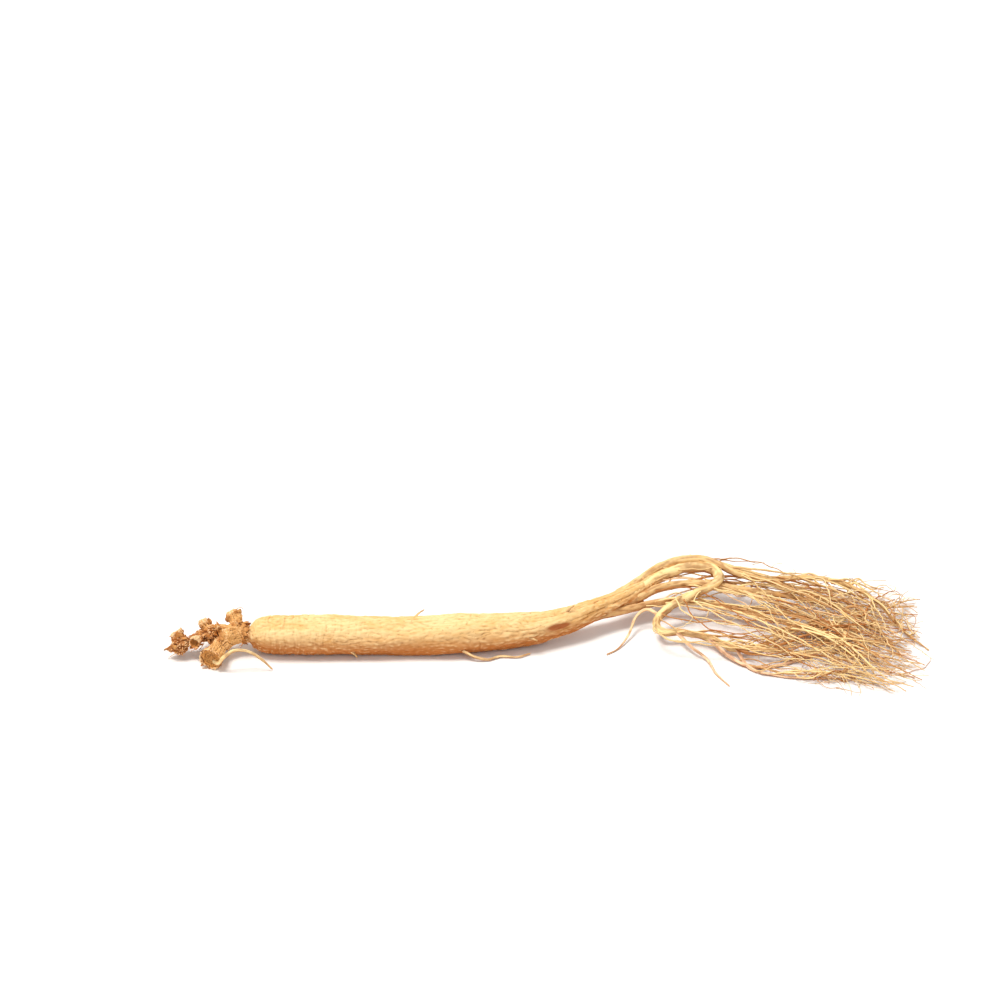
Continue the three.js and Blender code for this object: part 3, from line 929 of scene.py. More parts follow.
@dataclass
class Rhizome:
    """The crooked neck of old stem bases, swellings and warts, with its bud."""

    line: tuple[Point, ...] = (
        (-48, 0.2, 7.3), (-55, 0.6, 7.3), (-60.5, 1.2, 6.8), (-65.6, 1.2, 6.2), (-70, 0.6, 5.4),
        (-73.6, -1.4, 4.8), (-76.6, -3.4, 4.5),
    )
    radii: tuple[tuple[float, float], ...] = (
        (0, 2.6), (0.16, 3.1), (0.4, 3.1), (0.55, 2.6), (0.78, 2), (1, 1.8),
    )
    swellings: tuple[tuple[Point, float], ...] = (
        ((-57.4, 2.6, 8.2), 2.9),
        ((-61.6, -3.4, 5.4), 3.4),
        ((-65, 1.6, 6.4), 3.9),
        ((-69.6, 0.6, 5.6), 3),
        ((-76.4, -3.4, 4.7), 3.7),
    )
    stem_bases: tuple[StemBase, ...] = (
        StemBase((-52, 0.2, 7.4), (-61.8, -1.6, 6.6), 3.4, 4),
        StemBase((-56, 2.4, 8), (-58.8, 8.2, 10.6), 2.4, 2.9),
        StemBase((-61.4, -3, 5.4), (-65.2, -12.8, 4.2), 3, 4.1),
        StemBase((-66, 1, 6.4), (-68.4, 5.2, 9.2), 1.7, 2.1),
        StemBase((-70, -0.4, 5), (-71.2, -5.4, 6.6), 1.6, 2),
        StemBase((-75, -3, 5), (-77.6, -1.4, 8.8), 1.8, 2.2),
    )
    bud: StemBase = StemBase((-76.6, -3.6, 4.4), (-82.2, -5.4, 3.6), 1.9, 0.5)
    neck_rings: int = 60
    neck_sides: int = 36
    stub_rings: int = 26
    stub_sides: int = 40
    ball_rings: int = 24
    ball_sides: int = 30
    ball_end: float = 0.12
    cup_depth: float = 1.4
    cup_stretch: tuple[float, float] = (-2.2, -1.2)
    cup_edge: tuple[float, float] = (0.86, 0.66)
    rim_place: tuple[float, float] = (0.93, 0.12)
    wall_reach: float = 0.7
    wall_edge: tuple[float, float] = (0.2, 0.5)
    bud_point: float = 0.4
    lip: tuple[tuple[float, float], ...] = ((0.9, 0), (0.72, 0.25), (0.5, 0.7), (0.2, 1))
    warts_each: int = 4
    wart_radius: float = 1.1
    wart_shares: tuple[float, float] = (0.8, 1.3)
    wart_heights: tuple[float, float] = (-0.3, 0.9)
    wart_seed: int = 61
    cell: float = 0.18
    knobs: Bumps = Bumps((3.2, 3.2, 3.2))
    warp: Bumps = Bumps((1.7, 1.7, 1.7), 0.5)
    grit: Bumps = Bumps((0.5, 0.5, 0.5), 0.17, 31)
    lump_sizes: tuple[float, float, float] = (2.5, 1.15, 3.6)
    lump_heights: tuple[float, float, float] = (0.8, 0.4, 0.5)
    lump_level: float = 0.7
    knob_heights: tuple[float, float] = (0.7, 0.5)
    sunk_places: Bumps = Bumps((4, 4, 4), 1, 12)
    sunk_edge: tuple[float, float] = (-0.1, 0.5)
    fibre_ridges: tuple[Point, float] = ((1.3, 1.3, 6), 0.6)
    fibre_height: float = 0.45
    rim_height: float = 0.5
    cup_grit: float = 0.04
    # Weights of the painted shade and highlight read from hollows and bumps: share, rounds, depth.
    hollows: tuple[tuple[float, int, float], ...] = ((0.6, 16, 0.4), (0.6, 4, 0.1))
    noise_seed: int = 23
    cobble_seed: int = 29
    crown_ring: tuple[float, float] = (1.9, 3.9)
    flakes_each: int = 9
    flake_lengths: tuple[float, float] = (0.9, 1.9)
    flake_widths: tuple[float, float] = (0.5, 1.1)
    flake_outline: tuple[float, ...] = (0.8, 1, 1, 0.92, 0.75, 0.4)
    flake_curls: tuple[float, float] = (-0.5, 0.45)
    flake_thickness: float = 0.16
    flake_sides: int = 8
    fibre_share: float = 0.12
    fibre_lengths: tuple[float, float] = (2, 5)
    fibre_radii: tuple[float, float] = (0.15, 0.07)
    fibre_joints: int = 4
    fibre_swerve: float = 0.6
    fibre_droop: float = 0.2
    fibre_rings: int = 9
    fibre_sides: int = 5
    fibre_samples: int = 40
    lowest: float = 0.15
    scrap_seed: int = 313

    def _add_stub(self, form: Form, stub: StemBase, cup: float) -> None:
        """Adds one plain stub.

        Args:
            form: What it is added to.
            stub: Its place and sizes.
            cup: How deep its end is hollowed, or less than nothing for a point.
        """
        start, end = np.array(stub.start), np.array(stub.end)
        distances = np.linspace(0, stub.length, self.stub_rings)
        reach = np.append(distances, [stub.length - drop * cup for _, drop in self.lip])
        radii = np.append(stub.outline(distances), [stub.wide * share for share, _ in self.lip])
        along = np.repeat([(end - start) / stub.length], len(reach), axis=0)
        side = np.cross(along, (0, 0, 1))
        side /= np.linalg.norm(side, axis=1, keepdims=True)
        up = np.cross(side, along)
        middles = start + along * reach[:, None]
        add_tube(form, (middles, along, side, up), radii, self.stub_sides, _even)

    def _add_ball(self, form: Form, middle: np.ndarray, radius: float, turn: float) -> None:
        """Adds one swelling or wart.

        Args:
            form: What it is added to.
            middle: Its middle.
            radius: Its radius.
            turn: How it is turned.
        """
        turns = np.linspace(self.ball_end, math.pi - self.ball_end, self.ball_rings)
        heights = -np.cos(turns) * radius
        up = np.array([math.sin(turn), math.cos(turn), 0.6 * math.sin(2 * turn)])
        along = np.repeat([up / np.linalg.norm(up)], len(heights), axis=0)
        side = np.cross(along, (0, 0, 1))
        side /= np.linalg.norm(side, axis=1, keepdims=True)
        level = np.sqrt(np.maximum(radius**2 - heights**2, 0.01))
        frames = (middle + along * heights[:, None], along, side, np.cross(side, along))
        add_tube(form, frames, level, self.ball_sides, _even)

    def _core(self) -> Form:
        """Gathers the neck, its swellings and warts, the stubs and the bud.

        Returns:
            Their overlapping forms.
        """
        form = Form()
        route = Route(self.line)
        shares = np.linspace(0, 1, self.neck_rings)
        radii = smooth_value(self.radii, shares)
        add_tube(form, route.frames(shares), radii, self.neck_sides, _even)
        stream = Stream(self.wart_seed)
        lowest, highest = self.wart_heights
        for i, (place, radius) in enumerate(self.swellings):
            middle = np.array(place)
            self._add_ball(form, middle, radius, 1.7 * i)
            for k in range(self.warts_each):
                turn = GOLDEN_SHARE * 2 * math.pi * (k + stream.next())
                height = lowest + (highest - lowest) * (k + 0.5) / self.warts_each
                level = math.sqrt(1 - height**2)
                out = np.array([level * math.sin(turn), level * math.cos(turn), height])
                size = self.wart_radius * stream.between(*self.wart_shares)
                self._add_ball(form, middle + 0.92 * radius * out, 0.9 * size, turn)
        for stub in self.stem_bases:
            self._add_stub(form, stub, self.cup_depth)
        self._add_stub(form, self.bud, -self.bud_point)
        return form

    def _add_flake(
        self, form: Form, base: np.ndarray, out: np.ndarray, along: np.ndarray, stream: Stream
    ) -> None:
        """Adds one dry scale of bark, a thin leaf that curls away.

        Args:
            form: What it is added to.
            base: Where it holds on.
            out: The direction off the bark.
            along: The direction that it points in.
            stream: The draws that make it its own.
        """
        length = stream.between(*self.flake_lengths)
        across = np.cross(along, out)
        across /= np.linalg.norm(across)
        share = np.linspace(0, 1, len(self.flake_outline))
        curl = stream.between(*self.flake_curls) * share**2
        middles = base + length * (share[:, None] * along + curl[:, None] * out)
        steps = np.gradient(middles, axis=0)
        steps /= np.linalg.norm(steps, axis=1, keepdims=True)
        side = np.repeat([across], len(share), axis=0)
        up = np.cross(side, steps)
        width = stream.between(*self.flake_widths) * np.array(self.flake_outline)
        width = width * np.array([stream.between(0.75, 1.2) for _ in share])
        tint = stream.between(0.2, 1)
        frames = (middles, steps, side, up)
        add_tube(form, frames, width, self.flake_sides, _even, tint, self.flake_thickness)

    def _add_fibre(self, form: Form, base: np.ndarray, out: np.ndarray, stream: Stream) -> None:
        """Adds one frayed fibre that stands off the bark and droops.

        Args:
            form: What it is added to.
            base: Where it grows from.
            out: The direction off the bark.
            stream: The draws that make it its own.
        """
        corners = [tuple(base)]
        heading, at = out.copy(), base.copy()
        length = stream.between(*self.fibre_lengths)
        for _ in range(self.fibre_joints):
            most = self.fibre_swerve
            swerve = np.array([stream.between(-most, most) for _ in range(3)])
            heading = heading + swerve + [0, 0, -self.fibre_droop]
            heading /= np.linalg.norm(heading)
            at = at + heading * length / self.fibre_joints
            at[2] = max(at[2], self.lowest)
            corners.append(tuple(at))
        route = Route(corners, self.fibre_samples)
        shares = np.linspace(0, 1, self.fibre_rings)
        radii = np.linspace(*self.fibre_radii, len(shares))
        tint = stream.between(0.3, 1)
        add_tube(form, route.frames(shares), radii, self.fibre_sides, _even, tint)

    def _add_scraps(self, form: Form) -> None:
        """Adds the dry scales and frayed fibres round the cups, the swellings and the crown.

        Args:
            form: What they are added to.
        """
        stream = Stream(self.scrap_seed)
        rings = [
            (np.array(stub.start), np.array(stub.end), stub.wide, self.flakes_each)
            for stub in self.stem_bases
        ]
        crown = np.array(self.line[1])
        reach, radius = self.crown_ring
        rings.append((crown, crown + [reach, 0, 0], radius, 2 * self.flakes_each))
        rings += [
            (np.array(place), np.array(place) + [-0.3, 0.2, 0.1], radius, self.flakes_each)
            for place, radius in self.swellings
        ]
        for start, end, radius, count in rings:
            along = (end - start) / np.linalg.norm(end - start)
            side = np.cross(along, (0, 0, 1))
            side /= np.linalg.norm(side)
            up = np.cross(side, along)
            for i in range(count):
                turn = 2 * math.pi * (i + stream.next()) / count
                out = side * math.sin(turn) + up * math.cos(turn)
                base = end - along * stream.between(0.9, 2) + out * 0.95 * radius
                lean = along * stream.between(0.6, 1) + out * stream.between(0, 0.3)
                lean = lean + np.cross(along, out) * stream.between(-0.6, 0.6)
                lean /= np.linalg.norm(lean)
                self._add_flake(form, base, out, lean, stream)
                if stream.next() < self.fibre_share:
                    self._add_fibre(form, base, out, stream)

    def _cups(self, points: np.ndarray) -> tuple[np.ndarray, np.ndarray, np.ndarray, np.ndarray]:
        """Tells the parts of the stubs.

        Args:
            points: Places on the bark.

        Returns:
            How far each is inside a cup, on a cup's rim and on a stub's side, and its grain.
        """
        inside, rim, wall = (np.zeros(len(points)) for _ in range(3))
        grain = points.copy()
        for stub in self.stem_bases:
            start = np.array(stub.start)
            along = (np.array(stub.end) - start) / stub.length
            reach = (points - start) @ along
            radius = np.linalg.norm(points - start - reach[:, None] * along, axis=1)
            on_stub = reach < stub.length + 1
            near_end = smooth_step(*self.cup_stretch, reach - stub.length) * on_stub
            hollow = smooth_step(*self.cup_edge, radius / stub.wide)
            inside = np.maximum(inside, near_end * hollow)
            place, width = self.rim_place
            ring = np.exp(-(((radius / stub.wide - place) / width) ** 2))
            rim = np.maximum(rim, near_end * ring)
            on_wall = np.exp(-(((radius - stub.outline(reach)) / self.wall_reach) ** 2))
            on_wall = on_wall * smooth_step(*self.wall_edge, reach / stub.length) * on_stub
            mine = on_wall > wall
            off = points[mine] - start - reach[mine, None] * along
            grain[mine] = np.column_stack([off[:, 0], off[:, 2] + off[:, 1], reach[mine]])
            wall = np.maximum(wall, on_wall)
        return inside, rim, wall, grain

    def build(self, material: bpy.types.Material) -> bpy.types.Object:
        """Makes the rhizome's bark.

        Args:
            material: The bark.

        Returns:
            The piece.
        """
        skin = Skin.fused(self._core(), self.cell)
        noise, cobbles = SmoothNoise(self.noise_seed), Cobbles(self.cobble_seed)
        points = skin.points
        inside, rim, wall, fibred = self._cups(points)
        shifts = [self.warp.at(noise, points + shift) for shift in (5, 25, 45)]
        warped = points + np.column_stack(shifts)
        knobs = self.knobs.at(noise, points)
        lump, nub, dent = self.lump_sizes
        lumps = cobbles.at(warped, lump)
        nubs = cobbles.at(warped + 40, nub)
        plain = np.clip(1 - 0.85 * inside - 0.75 * wall, 0, 1)
        fibres = noise.ridges(fibred, *self.fibre_ridges)
        hollow = cobbles.at(warped + 80, dent)
        hollow = hollow * smooth_step(*self.sunk_edge, self.sunk_places.at(noise, points))
        lump, nub, dent = self.lump_heights
        knob, wall_knob = self.knob_heights
        bark = knob * knobs + lump * (lumps - self.lump_level)
        bark = bark + nub * (nubs - self.lump_level) - dent * (1 - hollow)
        skin.push(
            bark * plain
            + (wall_knob * knobs + self.fibre_height * (fibres - 0.6)) * wall * (1 - inside)
            + self.grit.at(noise, points)
            + self.rim_height * rim * (0.4 + knobs)
            - self.cup_grit * inside * (1 - nubs)
        )
        skin.normals = skin.outward()
        # Painted highlight on bumps and cup rims, painted shade in hollows and cups.
        relief = sum(share * skin.hollows(*seen) for share, *seen in self.hollows)
        relief = relief + 0.6 * rim - 0.3 * inside
        sound = wall * (1 - inside) + 0.7 * smooth_step(-64, -57, points[:, 0])
        form = Form()
        form.add(
            skin.points,
            skin.faces,
            points,
            {
                Mark.SHADE_AND_HIGHLIGHT: relief,
                Mark.TIP: smooth_step(-60, -80, points[:, 0]),
                Mark.TINT: np.clip(sound, 0, 1),
                Mark.STAIN: np.clip(inside, 0, 1),
                Mark.UNDERSIDE_SHADE: np.zeros(len(points)),
            },
        )
        self._add_scraps(form)
        return form.to_piece("rhizome", material)


@dataclass
class SideRoots:
    """The side roots, and the stubs of rootlets that broke off the taproot."""

    step: float = 0.45
    sides: int = 18
    thin_sides: int = 9
    thin: float = 1
    lump_shape: tuple[float, float, float] = (2.5, 7, 0.13)
    knots: Bumps = Bumps((2, 2, 1.6), 0.09, 7)
    crease_shape: tuple[float, float, float] = (0.9, 9, 0.4)
    crease_depth: float = 0.26
    seed: int = 37
    stump_radii: tuple[float, float] = (0.5, 0.3)
    broken: tuple[tuple[float, float, float], ...] = (
        (58, -0.5, 3.6), (97, 1.7, 2.6), (36, 2.2, 2.2), (112, 0.3, 2.8), (80, -1.5, 3.2),
        (21, -2, 2.4),
    )

    def __post_init__(self) -> None:
        """Draws the noise for the folds."""
        self.noise = SmoothNoise(self.seed)

    def _relief(self, radius: float, shift: float) -> Relief:
        """Gives the lumps and folds of one side root.

        Args:
            radius: Its mean radius.
            shift: What makes its folds its own.

        Returns:
            What is added to its radius, by the unrolled place.
        """
        wide, long, high = self.lump_shape
        lumps = Bumps((wide * radius, wide * radius, long), high)
        wide, long, flank = self.crease_shape
        creases = Creases((wide * radius, wide * radius, long), flank, self.crease_depth, 3)

        def relief(grain: np.ndarray) -> np.ndarray:
            """Adds lumps and small knots, and takes creases away.

            Args:
                grain: The unrolled places.

            Returns:
                What is added to the radius at each.
            """
            moved = grain + shift
            raised = lumps.at(self.noise, moved) + self.knots.at(self.noise, moved)
            return radius * (raised - creases.at(self.noise, moved))

        return relief

    def build(self, taproot: Taproot, material: bpy.types.Material) -> bpy.types.Object:
        """Makes the side roots.

        Args:
            taproot: What the broken rootlets stand on.
            material: The skin.

        Returns:
            The piece.
        """
        form = Form()
        for i, root in enumerate(SIDE_ROOTS.values()):
            route = Route(root.corners)
            shares = np.linspace(0, 1, int(route.length / self.step))
            mean = 0.6 * root.base
            add_tube(
                form,
                route.frames(shares),
                root.radius(shares),
                self.sides if root.base > self.thin else self.thin_sides,
                self._relief(mean, 13.7 * i),
                root.tint,
            )
        for distance, turn, length in self.broken:
            share = np.array([distance / taproot.route.length])
            middle, along, side, up = (v[0] for v in taproot.route.frames(share))
            out = side * math.sin(turn) + up * math.cos(turn)
            reach = float(taproot.radius(np.array([distance]))[0]) - 1
            base = middle + out * reach
            tip = base + out * (0.5 * length + 1) + along * length
            stub = Route([tuple(base), tuple((base + tip) / 2 + 0.2 * up), tuple(tip)])
            shares = np.linspace(0, 1, 12)
            radii = np.linspace(*self.stump_radii, len(shares))
            relief = self._relief(0.4, distance)
            add_tube(form, stub.frames(shares), radii, self.thin_sides, relief)
        return form.to_piece("side_roots", material)


@dataclass(frozen=True)
class Fan:
    """The space that the rootlets' tips spread over, and how the rootlets wander to it."""

    centre: tuple[float, float] = (70, 12)
    angles: tuple[float, float] = (-0.44, 0.32)
    distances: tuple[float, float] = (84, 116)
    tip_height: float = 5
    least_length: float = 16
    lowest: float = 0.24
    fork: float = 0.45
    sweep: tuple[float, float] = (-0.6, 0.3)
    wave: float = 3
    wave_count: float = 1.3
    hump: float = 5
    joints: int = 6

    def route(self, host: Route, share: float, tip_share: float, stream: Stream) -> Route:
        """Lays one rootlet from its host to its tip in the fan.

        Args:
            host: What it grows from.
            share: Where on the host, as a share of its length.
            tip_share: Where its tip is, from the front of the fan to the back.
            stream: The draws that make it its own.

        Returns:
            Its middle line.
        """
        middles, along, _, _ = host.frames(np.array([share]))
        start, heading = middles[0], math.atan2(along[0][1], along[0][0])
        angle = self.angles[0] + (self.angles[1] - self.angles[0]) * tip_share
        low, high = self.distances
        distance = low + (high - low) * math.sqrt(stream.next())
        tip = np.array(
            [
                self.centre[0] + distance * math.cos(angle),
                self.centre[1] + distance * math.sin(angle),
                self.lowest + self.tip_height * stream.next() ** 2,
            ]
        )
        tip[0] = max(tip[0], start[0] + self.least_length * math.cos(angle))
        reach = float(np.linalg.norm(tip - start)) / 3
        fork = heading + self.fork * stream.between(-1, 1)
        sweep = angle + stream.between(*self.sweep)
        first = start + reach * np.array([math.cos(fork), math.sin(fork), 0])
        last = tip - reach * np.array([math.cos(sweep), math.sin(sweep), 0])
        phase = 2 * math.pi * stream.next()
        wave = self.wave * stream.next()
        hump = self.hump * stream.next()
        done = np.arange(1, self.joints + 1) / self.joints
        t = done[:, None]
        bend = (1 - t) ** 3 * start + 3 * t * (1 - t) ** 2 * first
        bend = bend + 3 * t**2 * (1 - t) * last + t**3 * tip
        swing = wave * np.sin(phase + 2 * math.pi * self.wave_count * done)
        bend[:, 0] += 0.4 * swing * math.sin(phase)
        bend[:, 1] += swing
        bend[:, 2] += hump * np.sin(math.pi * done) * (1 - done)
        bend[:, 2] = np.maximum(bend[:, 2], self.lowest)
        return Route([tuple(start), *(tuple(corner) for corner in bend)])


@dataclass(frozen=True)
class Host:
    """A side root that rootlets leave: the stretch they leave from, and their share of the fan."""

    name: str
    stretch: tuple[float, float]
    tips: tuple[float, float]
    count: int


@dataclass
class Rootlets:
    """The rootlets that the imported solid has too, finer and rounder."""

    hosts: tuple[Host, ...] = (
        Host("upper", (0.1, 0.86), (0.45, 1), 12),
        Host("middle", (0.16, 0.84), (0.3, 0.9), 9),
        Host("lower", (0.16, 0.84), (0.08, 0.7), 10),
        Host("hooked", (0.62, 0.92), (0.02, 0.6), 8),
        Host("front", (0.2, 0.8), (0.1, 0.4), 3),
        Host("front_low", (0.3, 0.8), (0, 0.2), 2),
    )
    seed: int = 1234
    fan: Fan = Fan()
    radii: tuple[float, float] = (0.42, 0.16)
    sides: int = 7
    step: float = 0.8
    crinkle: float = 0.35
    sways: tuple[Bumps, ...] = (Bumps((5, 1, 1)), Bumps((1.8, 1, 1), 0.4, 9))
    lifts: Bumps = Bumps((6, 1, 1), 1, 50)
    swells: Bumps = Bumps((2.6, 1, 1), 0.22, 20)
    taper: float = 1.25
    inset: float = 0
    fewest_rings: int = 5
    tints: tuple[float, float] = (0.2, 0.95)

    def routes(self) -> list[Route]:
        """Lays the rootlets' middle lines.

        Returns:
            The lines, host by host.
        """
        stream = Stream(self.seed)
        made = []
        for host in self.hosts:
            grown = Route(SIDE_ROOTS[host.name].corners)
            for i in range(host.count):
                low, high = host.stretch
                share = low + (high - low) * (i + 0.7 * stream.next()) / host.count
                low, high = host.tips
                tip = low + (high - low) * ((i * GOLDEN_SHARE + stream.next() / host.count) % 1)
                made.append(self.fan.route(grown, share, tip, stream))
        return made

    def add(self, form: Form, route: Route, radii: tuple[float, float], shift: float) -> None:
        """Adds one rootlet with its small crinkles, unless the room ends at once.

        Args:
            form: What it is added to.
            route: Its middle line.
            radii: Its radii at its base and its tip.
            shift: What makes its crinkles its own.
        """
        shares = np.linspace(0, 1, max(6, int(route.length / self.step)))
        middles, along, side, up = route.frames(shares)
        reach = shares * route.length
        places = np.column_stack([reach, np.full_like(reach, shift), np.zeros_like(reach)])
        size = self.crinkle * np.minimum(reach / 6, 1)
        sway = size * sum(bumps.at(CRINKLES, places) for bumps in self.sways)
        lift = size * self.lifts.at(CRINKLES, places)
        middles = middles + side * sway[:, None] + up * lift[:, None]
        inset = self.inset * ((shift * 0.77) % 1)
        low = np.minimum(ROOM[0] + [0, inset, 0], np.maximum(middles[0], ROOM[0]))
        high = np.maximum(ROOM[1] - [inset, inset, 0], np.minimum(middles[0], ROOM[1]))
        out = np.flatnonzero(((middles < low) | (middles > high))[:, :2].any(axis=1))
        kept = out[0] if len(out) else len(middles)
        if kept < self.fewest_rings:
            return
        middles, along, side, up, shares, places = (
            row[:kept] for row in (middles, along, side, up, shares, places)
        )
        base, tip = radii
        taper = (shares / shares[-1]) ** self.taper
        radius = (base + (tip - base) * taper) * (1 + self.swells.at(CRINKLES, places))
        middles[:, 2] = np.clip(middles[:, 2], 0.9 * radius, high[2])
        low, high = self.tints
        tint = low + (high - low) * ((shift * 0.37) % 1)
        add_tube(form, (middles, along, side, up), radius, self.sides, _even, tint)

    def build(self, material: bpy.types.Material) -> bpy.types.Object:
        """Makes the rootlets.

        Args:
            material: Their skin.

        Returns:
            The piece.
        """
        form = Form()
        for i, route in enumerate(self.routes()):
            self.add(form, route, self.radii, 3.1 * i)
        return form.to_piece("rootlets", material)


CRINKLES = SmoothNoise(53)
ROOM = (np.array([-82.0, -31.8, 0.0]), np.array([187.0, 46.8, 16.3]))


@dataclass
class FineRootlets(Rootlets):
    """The finest rootlets, which branch off the side roots and off other rootlets."""

    hosts: tuple[Host, ...] = (
        Host("upper", (0.12, 0.95), (0.4, 1), 34),
        Host("middle", (0.15, 0.95), (0.2, 0.95), 30),
        Host("lower", (0.15, 0.95), (0.05, 0.8), 28),
        Host("hooked", (0.36, 0.6), (0, 0.35), 9),
        Host("hooked", (0.6, 0.97), (0, 0.7), 28),
        Host("front", (0.15, 0.95), (0, 0.5), 8),
        Host("front_low", (0.2, 0.95), (0, 0.25), 6),
        Host("back_low", (0.2, 0.9), (0.75, 1), 8),
    )
    seed: int = 9091
    fan: Fan = Fan(
        distances=(66, 115),
        tip_height=6,
        least_length=10,
        lowest=0.15,
        fork=0.7,
        sweep=(-1.0, 0.5),
        wave=4.4,
        wave_count=1.7,
        hump=5,
        joints=7,
    )
    radii: tuple[float, float] = (0.27, 0.09)
    sides: int = 5
    step: float = 1.1
    crinkle: float = 0.75
    inset: float = 9
    twig_count: int = 280
    twig_stretch: tuple[float, float] = (0.2, 0.97)
    twig_radii: tuple[float, float] = (0.16, 0.06)
    twig_lengths: tuple[float, float] = (5, 22)
    twig_sides: int = 4
    twig_joints: int = 5
    twig_samples: int = 60
    twig_fork: float = 1.1
    twig_climbs: tuple[float, float] = (-0.5, 0.45)
    twig_droop: float = 0.12
    twig_curl: float = 0.7
    twig_swerve: float = 0.35
    twig_seed: int = 4441

    def _twig(self, host: Route, stream: Stream) -> Route:
        """Lays one hair-thin twig that curls away from a rootlet.

        Args:
            host: The rootlet that it grows from.
            stream: The draws that make it its own.

        Returns:
            Its middle line.
        """
        share = np.array([stream.between(*self.twig_stretch)])
        middles, along, _, _ = host.frames(share)
        at = middles[0]
        heading = math.atan2(along[0][1], along[0][0])
        heading += stream.between(-self.twig_fork, self.twig_fork)
        climb = stream.between(*self.twig_climbs)
        length = stream.between(*self.twig_lengths)
        curl = stream.between(-self.twig_curl, self.twig_curl)
        corners = [tuple(at)]
        for _ in range(self.twig_joints):
            heading += curl + stream.between(-self.twig_swerve, self.twig_swerve)
            climb = 0.6 * climb - self.twig_droop
            level = math.cos(climb)
            step = np.array([level * math.cos(heading), level * math.sin(heading), math.sin(climb)])
            at = at + step * length / self.twig_joints
            at[2] = max(at[2], self.fan.lowest)
            corners.append(tuple(at))
        return Route(corners, self.twig_samples)

    def build(self, material: bpy.types.Material) -> bpy.types.Object:
        """Makes the finest rootlets and their twigs.

        Args:
            material: Their skin.

        Returns:
            The piece.
        """
        form = Form()
        long_ones = self.routes()
        for i, route in enumerate(long_ones):
            self.add(form, route, self.radii, 2.3 * i)
        stream = Stream(self.twig_seed)
        hosts = long_ones + Rootlets().routes()
        self.sides = self.twig_sides
        for i in range(self.twig_count):
            host = hosts[int(stream.next() * len(hosts))]
            self.add(form, self._twig(host, stream), self.twig_radii, 1.9 * i)
        return form.to_piece("fine_rootlets", material)


class Graph:
    """The nodes of one material."""

    def __init__(self, name: str) -> None:
        """Starts an empty material.

        Args:
            name: Its name.
        """
        self.material = bpy.data.materials.new(name)
        self.material.use_nodes = True
        self.tree = self.material.node_tree
        self.tree.nodes.clear()

    def add(self, kind: str, inputs: dict[str | int, object], **settings: object) -> bpy.types.Node:
        """Adds a node.

        Args:
            kind: The node's type.
            inputs: What goes into its sockets, by name or number: a value, or a socket to link.
            **settings: Its other settings.

        Returns:
            The node.
        """
        node = self.tree.nodes.new(kind)
        for setting, value in settings.items():
            setattr(node, setting, value)
        for key, value in inputs.items():
            if isinstance(value, bpy.types.NodeSocket):
                self.tree.links.new(value, node.inputs[key])
            else:
                node.inputs[key].default_value = value
        return node


@dataclass(frozen=True)
class Grain:
    """Noise over the unrolled surface, by the size of its bumps in millimetres."""

    size: Point
    detail: float
    roughness: float = 0.55


@dataclass(frozen=True)
class Layer:
    """A colour that covers those below it as its source goes from one value to another."""

    colour: str
    share: float
    source: Mark | Grain
    start: float
    full: float


@dataclass(frozen=True)
class Finish:
    """A dry matt surface: its first colour, the layers over it, and its fine relief."""

    name: str
    base: str
    layers: tuple[Layer, ...]
    relief: tuple[Grain, Grain]
    relief_depth: float
    bump: float
    roughness: tuple[float, float]
    specular: float = 0.35

    def _value(self, graph: Graph, source: Mark | Grain) -> bpy.types.NodeSocket:
        """Reads a source of the surface.

        Args:
            graph: The material's nodes.
            source: A mark of the mesh, or noise over its unrolled surface.

        Returns:
            The socket with its value.
        """
        if isinstance(source, Mark):
            return graph.add("ShaderNodeAttribute", {}, attribute_name=source.value).outputs["Fac"]
        place = graph.add("ShaderNodeAttribute", {}, attribute_name="grain").outputs["Vector"]
        scale = tuple(1 / length for length in source.size)
        place = graph.add("ShaderNodeVectorMath", {0: place, 1: scale}, operation="MULTIPLY")
        look = {"Scale": 1.0, "Detail": source.detail, "Roughness": source.roughness}
        return graph.add("ShaderNodeTexNoise", {"Vector": place.outputs[0], **look}).outputs["Fac"]

    def build(self) -> bpy.types.Material:
        """Makes the material.

        Returns:
            The material.
        """
        graph = Graph(self.name)
        colour: object = linear(self.base)
        for layer in self.layers:
            cover = graph.add(
                "ShaderNodeMapRange",
                {
                    "Value": self._value(graph, layer.source),
                    "From Min": layer.start,
                    "From Max": layer.full,
                    "To Max": layer.share,
                },
                interpolation_type="SMOOTHSTEP",
            ).outputs["Result"]
            mixed = graph.add(
                "ShaderNodeMix", {0: cover, 6: colour, 7: linear(layer.colour)}, data_type="RGBA"
            )
            colour = mixed.outputs[2]
        coarse, fine = (self._value(graph, source) for source in self.relief)
        height = graph.add("ShaderNodeMath", {0: coarse, 1: fine}, operation="ADD").outputs[0]
        normal = graph.add(
            "ShaderNodeBump",
            {"Strength": self.bump, "Distance": self.relief_depth * MM, "Height": height},
        ).outputs["Normal"]
        low, high = self.roughness
        dull = graph.add("ShaderNodeMapRange", {"Value": coarse, "To Min": low, "To Max": high})
        shader = graph.add(
            "ShaderNodeBsdfPrincipled",
            {
                "Base Color": colour,
                "Roughness": dull.outputs["Result"],
                "Specular IOR Level": self.specular,
                "Normal": normal,
            },
        )
        graph.add("ShaderNodeOutputMaterial", {"Surface": shader.outputs[0]})
        return graph.material
